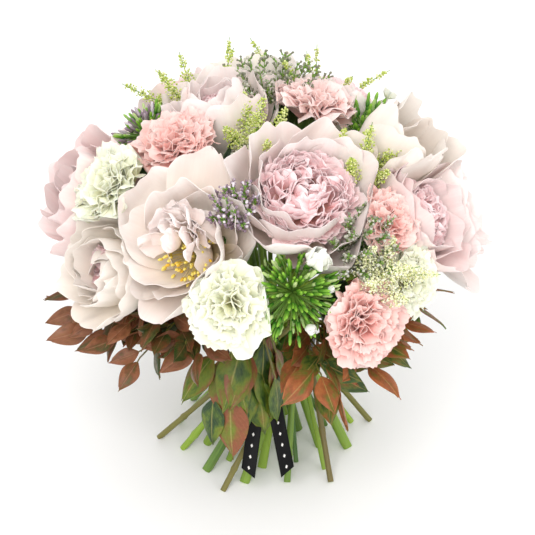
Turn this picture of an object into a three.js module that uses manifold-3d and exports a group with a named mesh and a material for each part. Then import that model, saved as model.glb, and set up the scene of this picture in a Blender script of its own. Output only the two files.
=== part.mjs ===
// A hand-tied bunch: peonies, carnations, phlox, sea lavender and astilbe over a collar of leaves.
// Every stem is a straight ruling of a spiral below the binding and bends out to its flower above it.
// Millimetres, +Z up. The bunch stands on its cut stem ends at z = 0, with its front facing -Y.
import * as THREE from "three";
import { mergeVertices } from "three/addons/utils/BufferGeometryUtils.js";
import Module from "manifold-3d";

// ---------------------------------------------------------------- driving dimensions

const WAIST_HEIGHT = 100; // the binding, above the cut ends
const DOME = { radius: 180, rise: 132, centreHeight: 188 }; // the ellipsoid that the flower faces lie on
const CLEARANCE = 0.4; // between pieces that touch
const TIER_GAP = 0.45; // between neighbouring layers of stems at the waist

const STEM_DIAMETER = { peony: 8.2, carnation: 5.6, phlox: 5.4, statice: 4.2, astilbe: 4.2, foliage: 5 };
const SHOULDER_RISE = 32; // how far above the waist a stem stays straight
const NECK_LENGTH = 26; // the last stretch of a stem, in line with its flower
const STEM_SIDES = 3; // half the number of sides of a stem's section
const STEM_STEPS = 9;
const FOOT_OVERRUN = 14; // the stems are swept this far below the cut before they are trimmed level
const REACH = 1.25; // heads nearer than this share of their radii together are pressed flat between them

const PEONY = { depth: 66, neck: 6, lobes: 5, lobeDepth: 0.05, segments: 15 };
const CARNATION = { depth: 50, calyxRadius: 6.5, calyxLength: 20, frill: 0.05, segments: 14 };
const PHLOX = { depth: 42, segments: 10 };
const STATICE = { depth: 62, segments: 8, riseAboveDome: 14 };
const ASTILBE = { depth: 84, segments: 7, riseAboveDome: 24, plumes: 3, splay: 34 };

const LEAF = { length: 56, width: 25, thickness: 1.2, petiole: 9, petioleRadius: 1.1, tilt: 50 };
const LEAF_SHAPE = [[0.03, 0], [0.4, 0.18], [0.5, 0.42], [0.26, 0.78], [0, 1]]; // shares of width, length
const TWINE = { thickness: 2.2, turns: 3 };
const RIBBON = { width: 12, thickness: 0.7, knot: 15, tailLength: 92, tailSpread: 9, slant: 7 };

// Layers of stems, from the centre out, and how far from the axis their cut ends stand.
const TIERS = [
  { footRadius: 0 },
  { footRadius: 28 },
  { footRadius: 52 },
  { footRadius: 74 },
  { footRadius: 90 },
];
const TIER_PITCH = STEM_DIAMETER.peony + TIER_GAP;

// Where each flower sits: its direction round the dome and its lean from the vertical, in degrees, the
// layer that its stem belongs to, and the radius of its face. The front of the bunch is at -90 degrees.
const FLOWERS = [
  { name: "peony_front_centre", kind: "peony", azimuth: -68, lean: 31, tier: 1, radius: 64 },
  { name: "peony_front_left", kind: "peony", azimuth: -121, lean: 50, tier: 2, radius: 55 },
  { name: "peony_left_low", kind: "peony", azimuth: -147, lean: 73, tier: 3, radius: 48 },
  { name: "peony_left_high", kind: "peony", azimuth: -178, lean: 61, tier: 3, radius: 50 },
  { name: "peony_top_left", kind: "peony", azimuth: 134, lean: 20, tier: 1, radius: 47 },
  { name: "peony_right", kind: "peony", azimuth: -20, lean: 58, tier: 3, radius: 52 },
  { name: "peony_right_low", kind: "peony", azimuth: 6, lean: 80, tier: 3, radius: 50 },
  { name: "peony_right_high", kind: "peony", azimuth: -4, lean: 40, tier: 2, radius: 42 },
  { name: "peony_back_right", kind: "peony", azimuth: 58, lean: 45, tier: 2, radius: 46 },
  { name: "peony_back_left", kind: "peony", azimuth: 114, lean: 72, tier: 3, radius: 50 },
  { name: "peony_back_top", kind: "peony", azimuth: 96, lean: 49, tier: 2, radius: 46 },
  { name: "carnation_pink_top_left", kind: "carnation", azimuth: -167, lean: 26, tier: 1, radius: 37 },
  { name: "carnation_pink_top_right", kind: "carnation", azimuth: 46, lean: 21, tier: 1, radius: 37 },
  { name: "carnation_pink_front", kind: "carnation", azimuth: -61, lean: 79, tier: 3, radius: 37 },
  { name: "carnation_pink_right", kind: "carnation", azimuth: -41, lean: 50, tier: 2, radius: 32 },
  { name: "carnation_cream_left", kind: "carnation", azimuth: -162, lean: 49, tier: 2, radius: 33 },
  { name: "carnation_cream_front", kind: "carnation", azimuth: -101, lean: 67, tier: 3, radius: 38 },
  { name: "carnation_cream_right", kind: "carnation", azimuth: -41, lean: 71, tier: 3, radius: 31 },
  { name: "carnation_pink_back", kind: "carnation", azimuth: 56, lean: 76, tier: 3, radius: 36 },
  { name: "carnation_cream_back", kind: "carnation", azimuth: 150, lean: 80, tier: 3, radius: 34 },
  { name: "phlox_front", kind: "phlox", azimuth: -81, lean: 62, tier: 3, radius: 31 },
  { name: "phlox_right", kind: "phlox", azimuth: 24, lean: 37, tier: 2, radius: 25 },
  { name: "phlox_left", kind: "phlox", azimuth: 160, lean: 39, tier: 2, radius: 26 },
  { name: "statice_front_right", kind: "statice", azimuth: -53, lean: 48, tier: 2, radius: 19 },
  { name: "statice_front_left", kind: "statice", azimuth: -103, lean: 34, tier: 1, radius: 17 },
  { name: "statice_top", kind: "statice", azimuth: 84, lean: 24, tier: 1, radius: 21 },
  { name: "statice_back", kind: "statice", azimuth: 84, lean: 74, tier: 3, radius: 20 },
  { name: "astilbe_crown", kind: "astilbe", azimuth: -118, lean: 5, tier: 0, radius: 13 },
  { name: "astilbe_right", kind: "astilbe", azimuth: -28, lean: 29, tier: 1, radius: 12 },
  { name: "astilbe_front_right", kind: "astilbe", azimuth: -55, lean: 60, tier: 3, radius: 13 },
  { name: "astilbe_back_left", kind: "astilbe", azimuth: 124, lean: 36, tier: 2, radius: 12 },
  { name: "astilbe_back_right", kind: "astilbe", azimuth: 66, lean: 38, tier: 2, radius: 12 },
];

// Branches of the leaf collar: which way each one points, how far out and how high its stem ends, how
// steeply it droops there, and how many leaves it carries.
const BRANCHES = [
  { name: "foliage_front_left", azimuth: -134, reach: 116, height: 158, droop: 0.4, leaves: 9 },
  { name: "foliage_front_centre", azimuth: -93, reach: 84, height: 128, droop: 1.3, leaves: 8 },
  { name: "foliage_front_right", azimuth: -50, reach: 100, height: 150, droop: 0.35, leaves: 9 },
  { name: "foliage_right", azimuth: -4, reach: 98, height: 146, droop: 0.3, leaves: 7 },
  { name: "foliage_back", azimuth: 70, reach: 98, height: 148, droop: 0.3, leaves: 8 },
  { name: "foliage_left", azimuth: 168, reach: 98, height: 148, droop: 0.3, leaves: 8 },
];
const FOLIAGE_TIER = 4;
const SHOULDER_SHARE = 0.64; // leaves start this far along a branch, just above its shoulder

const COLOURS = {
  peony: 0xf3ded9,
  carnation_pink: 0xf5b5b0,
  carnation_cream: 0xf4f3dc,
  phlox: 0x6fa03c,
  statice: 0x9a8aa0,
  astilbe: 0xc3cc78,
  stem: 0x6f8f35,
  foliage: 0x8a5a3c,
  twine: 0xb79a6a,
  ribbon: 0x101012,
};

// ---------------------------------------------------------------- solids and frames

const kernel = await Module();
kernel.setup();

/** A closed geometry, moved by a matrix, as a solid that can be joined and cut. */
function solidOf(geometry, matrix = new THREE.Matrix4()) {
  const loose = geometry.index ? geometry.toNonIndexed() : geometry;
  const bare = new THREE.BufferGeometry();
  bare.setAttribute("position", loose.getAttribute("position").clone());
  bare.applyMatrix4(matrix);
  const merged = mergeVertices(bare, 1e-3);
  return new kernel.Manifold(
    new kernel.Mesh({
      numProp: 3,
      vertProperties: merged.attributes.position.array,
      triVerts: new Uint32Array(merged.index.array),
    }),
  );
}

/** A solid as a geometry for a mesh. */
function geometryOf(solid) {
  const { vertProperties, triVerts } = solid.getMesh();
  const geometry = new THREE.BufferGeometry();
  geometry.setAttribute("position", new THREE.Float32BufferAttribute(vertProperties, 3));
  geometry.setIndex(new THREE.Uint32BufferAttribute(triVerts, 1));
  geometry.computeVertexNormals();
  return geometry;
}

/** The largest of the bodies that a cut leaves, with slivers on its edges cleaned away. */
function mainBody(solid) {
  const bodies = solid.simplify(CLEARANCE / 8).decompose();
  return bodies.reduce((best, body) => (body.volume() > best.volume() ? body : best));
}

const radians = THREE.MathUtils.degToRad;

/** The outward direction at an azimuth and a lean from the vertical, both in degrees. */
function direction(azimuth, lean) {
  return new THREE.Vector3().setFromSphericalCoords(1, radians(lean), radians(azimuth + 90))
    .applyMatrix4(Y_UP_TO_Z_UP);
}
const Y_UP_TO_Z_UP = new THREE.Matrix4().makeRotationX(Math.PI / 2);

/** A matrix that stands a shape made along +Y on a point, in line with a direction. */
function standOn(point, along) {
  const turn = new THREE.Quaternion().setFromUnitVectors(new THREE.Vector3(0, 1, 0), along);
  return new THREE.Matrix4().compose(point, turn, new THREE.Vector3(1, 1, 1));
}

/** A matrix that lays a flat shape, made along +Y and facing +Z, on a point with its face turned one way. */
function layOn(point, along, facing) {
  const across = new THREE.Vector3().crossVectors(along, facing).normalize();
  const face = new THREE.Vector3().crossVectors(across, along);
  return new THREE.Matrix4().makeBasis(across, along, face).setPosition(point);
}

/** A solid of revolution about +Y from [radius, height] pairs that start and end on the axis. */
function turned(profile, segments) {
  return new THREE.LatheGeometry(profile.map(([r, y]) => new THREE.Vector2(r, y)), segments);
}

/** Waves the outline of a turned shape, by a share of its radius, round its axis. */
function waved(geometry, waves, share) {
  const position = geometry.getAttribute("position");
  for (let i = 0; i < position.count; i++) {
    const [x, z] = [position.getX(i), position.getZ(i)];
    const swell = 1 + share * Math.cos(waves * Math.atan2(z, x));
    position.setXYZ(i, x * swell, position.getY(i), z * swell);
  }
  return geometry;
}

// ---------------------------------------------------------------- flower heads, made along +Y

/** A peony: a bowl of guard petals round a raised, ruffled centre. */
function peonyHead(radius) {
  const { depth, neck, lobes, lobeDepth, segments } = PEONY;
  const profile = [
    [0, 0], [neck, 0], [0.5 * radius, 0.2 * depth], [0.84 * radius, 0.5 * depth], [radius, 0.92 * depth],
    [0.82 * radius, 0.9 * depth], [0.66 * radius, 0.84 * depth], [0.35 * radius, 0.97 * depth], [0, depth],
  ];
  return solidOf(waved(turned(profile, segments), lobes, lobeDepth));
}

/** A carnation: a narrow calyx under a full, frilled dome of petals. */
function carnationHead(radius) {
  const { depth, calyxRadius, calyxLength, frill, segments } = CARNATION;
  const petals = depth - calyxLength;
  const profile = [
    [0, 0], [0.8 * calyxRadius, 0], [calyxRadius, 0.3 * calyxLength], [calyxRadius, calyxLength],
    [0.7 * radius, calyxLength + 0.25 * petals], [radius, calyxLength + 0.5 * petals],
    [0.72 * radius, calyxLength + 0.86 * petals], [0, depth],
  ];
  return solidOf(waved(turned(profile, segments), segments / 2, frill));
}

/** Phlox: a low dome of pointed buds. */
function phloxHead(radius) {
  const { depth, segments } = PHLOX;
  const profile = [
    [0, 0], [2.5, 0], [0.45 * radius, 0.25 * depth], [radius, 0.6 * depth], [0.7 * radius, 0.92 * depth],
    [0, depth],
  ];
  return solidOf(turned(profile, segments));
}

/** Sea lavender: a fan of fine branches, widest near its top. */
function staticeHead(radius) {
  const { depth, segments } = STATICE;
  const profile = [[0, 0], [2, 0], [0.4 * radius, 0.3 * depth], [radius, 0.72 * depth], [0, depth]];
  return solidOf(turned(profile, segments));
}

/** Astilbe: a slender tapering plume with side plumes that fan out round it. */
function astilbeHead(radius) {
  const { depth, segments, plumes, splay } = ASTILBE;
  const plume = (length) => turned(
    [[0, 0], [1.6, 0], [radius, 0.34 * length], [0.5 * radius, 0.74 * length], [0, length]], segments);
  const fork = new THREE.Vector3(0, 0.2 * depth, 0);
  let solid = solidOf(plume(depth));
  for (let i = 0; i < plumes; i++) {
    const way = new THREE.Vector3().setFromSphericalCoords(1, radians(splay), (2 * Math.PI * i) / plumes);
    solid = solid.add(solidOf(plume(0.72 * depth), standOn(fork, way)));
  }
  return solid;
}

const HEADS = {
  peony: { make: peonyHead, depth: PEONY.depth, riseAboveDome: 0, stemRun: 0 },
  carnation: { make: carnationHead, depth: CARNATION.depth, riseAboveDome: 0, stemRun: 0 },
  phlox: { make: phloxHead, depth: PHLOX.depth, riseAboveDome: 0, stemRun: 0.6 },
  statice: { make: staticeHead, depth: STATICE.depth, riseAboveDome: STATICE.riseAboveDome, stemRun: 0.7 },
  astilbe: { make: astilbeHead, depth: ASTILBE.depth, riseAboveDome: ASTILBE.riseAboveDome, stemRun: 0.7 },
};

const WAIST = new THREE.Vector3(0, 0, WAIST_HEIGHT);

/** Where a flower is: the point under its head, and the way that it faces. */
function placement({ kind, azimuth, lean }) {
  const { depth, riseAboveDome } = HEADS[kind];
  const outward = direction(azimuth, lean);
  const face = new THREE.Vector3(
    DOME.radius * outward.x,
    DOME.radius * outward.y,
    DOME.centreHeight + DOME.rise * outward.z,
  ).addScaledVector(outward, riseAboveDome);
  // A spray grows straight out of the binding; a flower faces out from the dome.
  const facing = riseAboveDome > 0 ? face.clone().sub(WAIST).normalize() : outward;
  return { base: face.clone().addScaledVector(facing, -depth), facing };
}

// ---------------------------------------------------------------- stems

/** The centre line of a stem: a spiral ruling up to the shoulder, a bend out to its flower, and a run up it. */
function stemCurve(tier, slotAngle, tip, facing, run = 0) {
  const waistRadius = tier * TIER_PITCH;
  const { footRadius } = TIERS[tier];
  const slant = Math.sqrt(Math.max(0, footRadius ** 2 - waistRadius ** 2)) / WAIST_HEIGHT;
  const across = new THREE.Vector3(Math.cos(slotAngle), Math.sin(slotAngle), 0);
  const atWaist = across.clone().multiplyScalar(waistRadius);
  const sideways = new THREE.Vector3(-across.y, across.x, 0);
  const ruling = (z) => atWaist.clone().addScaledVector(sideways, slant * (z - WAIST_HEIGHT)).setZ(z);
  return new THREE.CatmullRomCurve3(
    [
      ruling(-FOOT_OVERRUN),
      ruling(0.5 * WAIST_HEIGHT),
      ruling(WAIST_HEIGHT),
      ruling(WAIST_HEIGHT + SHOULDER_RISE),
      tip.clone().addScaledVector(facing, -NECK_LENGTH),
      tip,
      ...(run > 0 ? [tip.clone().addScaledVector(facing, run)] : []),
    ],
    false,
    "centripetal",
  );
}

/** A tube of one diameter along a curve. */
function tube(curve, diameter, steps = STEM_STEPS) {
  const section = new THREE.Shape().absarc(0, 0, diameter / 2, 0, 2 * Math.PI, false);
  return new THREE.ExtrudeGeometry(section, {
    steps, curveSegments: STEM_SIDES, bevelEnabled: false, extrudePath: curve,
  });
}

/** Half-space below the cut ends, as a block to take away. */
const belowCut = solidOf(
  new THREE.BoxGeometry(4 * DOME.radius, 4 * DOME.radius, 4 * FOOT_OVERRUN),
  new THREE.Matrix4().makeTranslation(0, 0, -2 * FOOT_OVERRUN),
);

/** A stem as a solid, cut level at its foot. A wider one is what its neighbours keep clear of. */
function stemSolid(curve, diameter) {
  return solidOf(tube(curve, diameter)).subtract(belowCut);
}

/** Slots at the waist for one tier: evenly spaced, in the order that the flowers stand round the dome. */
function slotAngles(azimuths) {
  const order = azimuths.map((_, i) => i).sort((a, b) => azimuths[a] - azimuths[b]);
  const pitch = 360 / azimuths.length;
  const offset = order.reduce((sum, i, rank) => sum + azimuths[i] - rank * pitch, 0) / azimuths.length;
  const angles = [];
  order.forEach((i, rank) => {
    angles[i] = radians(offset + rank * pitch - SPIRAL_LAG);
  });
  return angles;
}
const SPIRAL_LAG = 68; // how far round a stem passes the waist before it reaches its flower, in degrees

// ---------------------------------------------------------------- leaf collar

/** The outline of a leaf with a drip tip, along +Y from its base: half of it, then its mirror image. */
function leafOutline({ length, width }) {
  const half = LEAF_SHAPE.map(([across, along]) => new THREE.Vector2(across * width, along * length));
  const mirrored = half.slice(0, -1).reverse().map(({ x, y }) => new THREE.Vector2(-x, y));
  return new THREE.Shape([...half, ...mirrored]);
}

/** A flat leaf with its petiole, as a solid made along +Y. */
function leafSolid({ length, width }, room) {
  const { petiole, petioleRadius } = LEAF;
  const thickness = LEAF.thickness + 2 * room;
  const outline = leafOutline({ length: length + 2 * room, width: width + 2 * room });
  const blade = new THREE.ExtrudeGeometry(outline, { depth: thickness, bevelEnabled: false });
  const stalk = new THREE.CylinderGeometry(petioleRadius + room, petioleRadius + room, 2 * petiole, 4);
  const seat = new THREE.Matrix4().makeTranslation(0, petiole - 1 - room, -thickness / 2);
  return solidOf(blade, seat).add(solidOf(stalk));
}

/** A branch of the collar: its stem with alternate leaves along the stretch above the binding. */
function branchSolid({ azimuth, reach, height, droop, leaves, slotAngle }, room = 0) {
  const outward = direction(azimuth, 90);
  const tip = outward.clone().multiplyScalar(reach).setZ(height);
  const hang = outward.clone().setZ(-droop).normalize();
  const curve = stemCurve(FOLIAGE_TIER, slotAngle, tip, hang);
  let solid = stemSolid(curve, STEM_DIAMETER.foliage + 2 * room);
  const side = new THREE.Vector3().crossVectors(outward, new THREE.Vector3(0, 0, 1));
  for (let i = 0; i < leaves; i++) {
    const share = i / (leaves - 1);
    const node = curve.getPoint(SHOULDER_SHARE + (1 - SHOULDER_SHARE) * Math.min(share, 0.98));
    const splay = share === 1 ? 0 : (i % 2 ? 1 : -1) * (1.15 - 0.5 * share);
    const way = outward.clone().addScaledVector(side, splay);
    way.z = -droop - 0.2 * ((i * 5) % 3);
    const growth = 0.8 + 0.07 * ((i * 7) % 4);
    const size = { length: LEAF.length * growth, width: LEAF.width * growth };
    const seat = layOn(node, way.normalize(), direction(azimuth, LEAF.tilt));
    solid = solid.add(leafSolid(size, room).transform(seat.toArray()));
  }
  return solid;
}

// ---------------------------------------------------------------- binding

const BUNDLE_RADIUS = (TIERS.length - 1) * TIER_PITCH + STEM_DIAMETER.peony / 2 + CLEARANCE;

/** Turns of twine round the waist, lying side by side. */
function twineBand() {
  const { thickness, turns } = TWINE;
  const outer = BUNDLE_RADIUS + thickness;
  const profile = [];
  for (let i = 0; i < turns; i++) {
    const low = (i - turns / 2) * thickness;
    profile.push([outer - 0.3 * thickness, low], [outer, low + 0.5 * thickness]);
  }
  const top = (turns / 2) * thickness;
  profile.push([outer - 0.3 * thickness, top], [BUNDLE_RADIUS, top], [BUNDLE_RADIUS, -top], profile[0]);
  return turned(profile, 24).rotateX(Math.PI / 2);
}

/** The ribbon: a band over the twine, a knot at the front and two slant-cut tails over the stems. */
function ribbonSolid() {
  const { width, thickness, knot, tailLength, tailSpread, slant } = RIBBON;
  const inner = BUNDLE_RADIUS + TWINE.thickness + CLEARANCE;
  const outer = inner + thickness;
  const half = width / 2;
  const band = turned([[inner, -half], [outer, -half], [outer, half], [inner, half], [inner, -half]], 28);
  const knotDepth = knot / 2;
  const knotBlock = new THREE.SphereGeometry(knot / 2, 8, 6).scale(1, knotDepth / knot, 0.85);
  const knotSeat = new THREE.Matrix4().makeTranslation(0, -inner - thickness / 2 - knotDepth / 2, 0);
  let solid = solidOf(band.rotateX(Math.PI / 2)).add(solidOf(knotBlock, knotSeat));
  const slope = Math.atan2(TIERS.at(-1).footRadius - BUNDLE_RADIUS, WAIST_HEIGHT);
  for (const hand of [-1, 1]) {
    const outline = new THREE.Shape()
      .moveTo(-half, 0)
      .lineTo(-half, -tailLength + (hand < 0 ? slant : 0))
      .lineTo(half, -tailLength + (hand < 0 ? 0 : slant))
      .lineTo(half, 0);
    const tail = new THREE.ExtrudeGeometry(outline, { depth: thickness, bevelEnabled: false });
    const swing = new THREE.Matrix4()
      .makeTranslation(hand * 0.2 * knot, -outer - 0.3 * knot, 0)
      .multiply(new THREE.Matrix4().makeRotationX(Math.PI / 2 - slope - 0.1))
      .multiply(new THREE.Matrix4().makeRotationZ(radians(hand * tailSpread)));
    solid = solid.add(solidOf(tail, swing));
  }
  return solid;
}

// ---------------------------------------------------------------- assembly

const bunch = new THREE.Group();

/** Adds a named mesh to the bunch. */
function addPiece(name, solid, colour, height = 0) {
  const material = new THREE.MeshStandardMaterial({ color: COLOURS[colour], roughness: 0.7, metalness: 0 });
  const mesh = new THREE.Mesh(geometryOf(mainBody(solid)), material);
  mesh.name = name;
  mesh.position.z = height;
  bunch.add(mesh);
}

// Every stem gets its slot at the waist, tier by tier.
const everyStem = [
  ...FLOWERS,
  ...BRANCHES.map((branch) => ({ ...branch, kind: "foliage", tier: FOLIAGE_TIER })),
];
for (let tier = 0; tier < TIERS.length; tier++) {
  const members = everyStem.filter((stem) => stem.tier === tier);
  slotAngles(members.map((stem) => stem.azimuth)).forEach((angle, i) => {
    members[i].slotAngle = angle;
  });
}

const flowers = everyStem.filter((stem) => stem.kind !== "foliage").map((stem) => {
  const { base, facing } = placement(stem);
  // A flower's head sits on its stem, and a spray's stem runs on up inside it.
  const { depth, stemRun } = HEADS[stem.kind];
  const tip = base.clone().addScaledVector(facing, stemRun > 0 ? 0 : -CLEARANCE);
  const curve = stemCurve(stem.tier, stem.slotAngle, tip, facing, stemRun * depth);
  return { ...stem, base, facing, curve };
});

/** The room that each stem needs, for what stands beside it to be cut back from it. */
const stemRoom = new Map(
  flowers.map((f) => [f.name, stemSolid(f.curve, STEM_DIAMETER[f.kind] + 2 * CLEARANCE)]),
);

/** The middle of a flower's head. */
function middleOf({ base, facing, kind }) {
  return base.clone().addScaledVector(facing, 0.6 * HEADS[kind].depth);
}

/** A head, pressed flat where a neighbour's head meets it and hollowed where a neighbour's stem passes. */
function headSolid(flower, room = 0) {
  const { kind, base, facing, radius } = flower;
  const place = standOn(base.clone().addScaledVector(facing, -room), facing);
  let solid = HEADS[kind].make(radius + room).transform(place.toArray());
  for (const other of flowers) {
    if (other === flower) continue;
    const away = middleOf(flower).sub(middleOf(other));
    const distance = away.length();
    if (distance < REACH * (radius + other.radius)) {
      const share = other.radius / (radius + other.radius);
      const normal = away.normalize();
      const offset = normal.dot(middleOf(other)) + share * distance + CLEARANCE / 2;
      solid = solid.trimByPlane(normal.toArray(), offset - room);
    }
    if (!room) solid = solid.subtract(stemRoom.get(other.name));
  }
  return solid;
}

for (const flower of flowers) {
  const { name, kind } = flower;
  const colour = kind === "carnation" ? `carnation_${name.split("_")[1]}` : kind;
  const head = mainBody(headSolid(flower));
  const stem = stemSolid(flower.curve, STEM_DIAMETER[kind]);
  if (HEADS[kind].stemRun > 0) {
    addPiece(name, head.add(stem), colour);
  } else {
    addPiece(name, head, colour);
    addPiece(`${name}_stem`, stem, "stem");
  }
}

// The collar is cut back, branch after branch, from the flowers, their stems and the branches before it.
const taken = [...stemRoom.values(), ...flowers.map((flower) => headSolid(flower, CLEARANCE))];
for (const branch of everyStem.filter((stem) => stem.kind === "foliage")) {
  const solid = taken.reduce((left, other) => left.subtract(other), branchSolid(branch));
  addPiece(branch.name, mainBody(solid), "foliage");
  taken.push(branchSolid(branch, CLEARANCE));
}

addPiece("binding_twine", solidOf(twineBand()), "twine", WAIST_HEIGHT);
addPiece("ribbon", ribbonSolid(), "ribbon", WAIST_HEIGHT);

// The origin is under the middle of the whole bunch, on the surface that the cut ends stand on.
const middle = new THREE.Box3().setFromObject(bunch).getCenter(new THREE.Vector3());
bunch.position.set(-middle.x, -middle.y, 0);

export default bunch;
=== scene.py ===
"""A hand-tied bunch of peonies and smaller flowers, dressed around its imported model.

Each flower is read from the frame: its stem gives the line that it grows along, and its head gives its
size. Petals, leaves and ribbon are thin closed shells. Buds, florets, beads and stems are closed solids.
"""
import logging
import math
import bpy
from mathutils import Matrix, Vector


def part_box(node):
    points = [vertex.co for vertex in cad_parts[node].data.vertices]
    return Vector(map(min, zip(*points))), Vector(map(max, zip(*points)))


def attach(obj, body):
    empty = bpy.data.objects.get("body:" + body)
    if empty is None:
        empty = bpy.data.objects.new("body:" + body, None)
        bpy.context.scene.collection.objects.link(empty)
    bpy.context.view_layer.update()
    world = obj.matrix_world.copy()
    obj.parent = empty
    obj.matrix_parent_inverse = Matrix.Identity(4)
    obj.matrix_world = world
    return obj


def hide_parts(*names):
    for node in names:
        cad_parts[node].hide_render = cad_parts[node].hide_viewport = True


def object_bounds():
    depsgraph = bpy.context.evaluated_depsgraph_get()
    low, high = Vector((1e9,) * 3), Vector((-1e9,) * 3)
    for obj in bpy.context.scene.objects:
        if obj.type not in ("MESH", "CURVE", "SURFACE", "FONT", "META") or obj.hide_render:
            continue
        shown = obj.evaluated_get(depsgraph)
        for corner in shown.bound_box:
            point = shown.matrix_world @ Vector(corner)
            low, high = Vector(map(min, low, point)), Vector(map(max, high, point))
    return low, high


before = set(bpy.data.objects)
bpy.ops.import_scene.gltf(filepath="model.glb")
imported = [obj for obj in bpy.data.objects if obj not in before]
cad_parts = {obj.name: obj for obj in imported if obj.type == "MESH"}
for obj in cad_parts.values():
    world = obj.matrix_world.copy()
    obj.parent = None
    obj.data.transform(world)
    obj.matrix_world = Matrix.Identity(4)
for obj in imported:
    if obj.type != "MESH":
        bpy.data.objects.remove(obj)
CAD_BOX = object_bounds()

import zlib
from collections.abc import Sequence
from dataclasses import dataclass, field, replace
from enum import Enum

import bpy
import numpy as np
from mathutils import Vector

log = logging.getLogger("bunch")

Array = np.ndarray
Random = np.random.Generator
Material = bpy.types.Material

MM = 0.001
FULL_TURN = 2 * math.pi
GOLDEN_ANGLE = math.pi * (3 - math.sqrt(5))
UP = np.array([0.0, 0.0, 1.0])
SHEET = "sheet"  # the point attribute that finishes read: across, along and a number of the petal's own


# ---------------------------------------------------------------- vectors and lines


def unit(vector: Array) -> Array:
    """Returns a vector, or each of a row of vectors, at length one."""
    return vector / np.maximum(np.linalg.norm(vector, axis=-1, keepdims=True), 1e-12)


def square_to(along: Array, near: Array) -> Array:
    """Returns the part of near that stands square to along, at length one."""
    return unit(near - (near * along).sum(-1, keepdims=True) * along)


def any_square_to(along: Array) -> Array:
    """Returns a unit vector square to each of the given ones."""
    steep = np.abs(along[..., 2:3]) > 0.9
    return square_to(along, np.where(steep, np.array([1.0, 0.0, 0.0]), UP))


def spoke(way: Array, turn: float) -> Array:
    """Returns the direction at an angle round an axis, square to it."""
    one = any_square_to(way)
    return math.cos(turn) * one + math.sin(turn) * np.cross(way, one)


def lean_from(way: Array, out: Array, lean: float) -> Array:
    """Returns the direction that leans from one way towards another, square one."""
    return math.cos(lean) * way + math.sin(lean) * out


def smooth_path(points: Sequence[Array], count: int) -> Array:
    """Draws an even, smooth line through some points.

    Args:
        points: The points, in order.
        count: How many points the new line has.

    Returns:
        The new line's points, evenly spaced.
    """
    points = np.asarray(points)
    reach = np.concatenate([[0.0], np.cumsum(np.linalg.norm(np.diff(points, axis=0), axis=1))])
    slope = np.gradient(points, reach, axis=0)
    at = np.linspace(0.0, reach[-1], count)
    left = np.clip(np.searchsorted(reach, at, side="right") - 1, 0, len(reach) - 2)
    gap = (reach[left + 1] - reach[left])[:, None]
    t = (at - reach[left])[:, None] / gap
    return (
        (2 * t**3 - 3 * t**2 + 1) * points[left]
        + (t**3 - 2 * t**2 + t) * gap * slope[left]
        + (3 * t**2 - 2 * t**3) * points[left + 1]
        + (t**3 - t**2) * gap * slope[left + 1]
    )


# ---------------------------------------------------------------- reading the frame

TRACE_STEP = 7 * MM  # between the cuts that follow a stem
TRACE_LIMIT = 80  # cuts
GAP_SAMPLES = 900  # places tried between the heads
GAP_SPACING = 20 * MM


@dataclass(frozen=True)
class Line:
    """A stem's centre line, from its cut end up, and its radius."""

    path: Array
    radius: float

    @property
    def tip(self) -> Array:
        """Returns the top end."""
        return self.path[-1]

    @property
    def way(self) -> Array:
        """Returns the direction that the top end points in."""
        return unit(self.path[-1] - self.path[-2])


@dataclass(frozen=True)
class Head:
    """Where a flower's head sits: its base, the way that it faces, and its size."""

    base: Array
    way: Array
    radius: float
    depth: float
    claim: float = 1.0  # how much room it takes from its neighbours

    @property
    def middle(self) -> Array:
        """Returns the middle of the head."""
        return self.at(0.6)

    @property
    def room(self) -> float:
        """Returns the radius that counts where it meets a neighbour."""
        return self.claim * self.radius

    def at(self, share: float) -> Array:
        """Returns the point on its axis at a share of its depth."""
        return self.base + share * self.depth * self.way

    def grown_to(self, depth: float) -> "Head":
        """Returns the head with its top where it was and its base a full depth below."""
        return replace(self, base=self.base + (self.depth - depth) * self.way, depth=depth)


def clear_of(grid: Array, heads: Sequence[Head], clearance: float = 1.12) -> bool:
    """Tells whether a leaf stays out of every head.

    Args:
        grid: The leaf's middle surface.
        heads: The heads.
        clearance: How far it stays from a head's middle, as a share of the head's radius.

    Returns:
        True where no point of the leaf is inside one.
    """
    points = grid.reshape(-1, 3)
    return all(np.linalg.norm(points - head.middle, axis=1).min() > clearance * head.radius for head in heads)


def find_gaps(heads: Sequence[Head]) -> list[Array]:
    """Finds the places between the heads where greenery shows.

    Args:
        heads: Every head.

    Returns:
        The places, at about the height of the heads' middles.
    """
    middles = np.array([head.middle for head in heads])
    radii = np.array([head.radius for head in heads])
    hub = np.array([0.0, 0.0, middles[:, 2].min() - 30 * MM])
    away = np.linalg.norm(middles - hub, axis=1)
    ways = (middles - hub) / away[:, None]
    found: list[Array] = []
    for i in range(GAP_SAMPLES):
        height = 1 - 0.95 * (i + 0.5) / GAP_SAMPLES
        out = math.sqrt(1 - height**2)
        way = np.array([out * math.cos(i * GOLDEN_ANGLE), out * math.sin(i * GOLDEN_ANGLE), height])
        weight = np.exp(16 * (ways @ way))
        place = hub + 0.97 * (weight @ away) / weight.sum() * way
        if (np.linalg.norm(place - middles, axis=1) < 0.94 * radii).any():
            continue
        if all(np.linalg.norm(place - other) > GAP_SPACING for other in found):
            found.append(place)
    return found


def mesh_points(node: str) -> Array:
    """Returns the corners of a node's mesh."""
    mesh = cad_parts[node].data
    points = np.empty(len(mesh.vertices) * 3)
    mesh.vertices.foreach_get("co", points)
    return points.reshape(-1, 3)


def mesh_edges(node: str) -> Array:
    """Returns the edges of a node's mesh, as pairs of corners."""
    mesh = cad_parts[node].data
    ends = np.empty(len(mesh.edges) * 2, np.int32)
    mesh.edges.foreach_get("vertices", ends)
    return ends.reshape(-1, 2)


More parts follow.
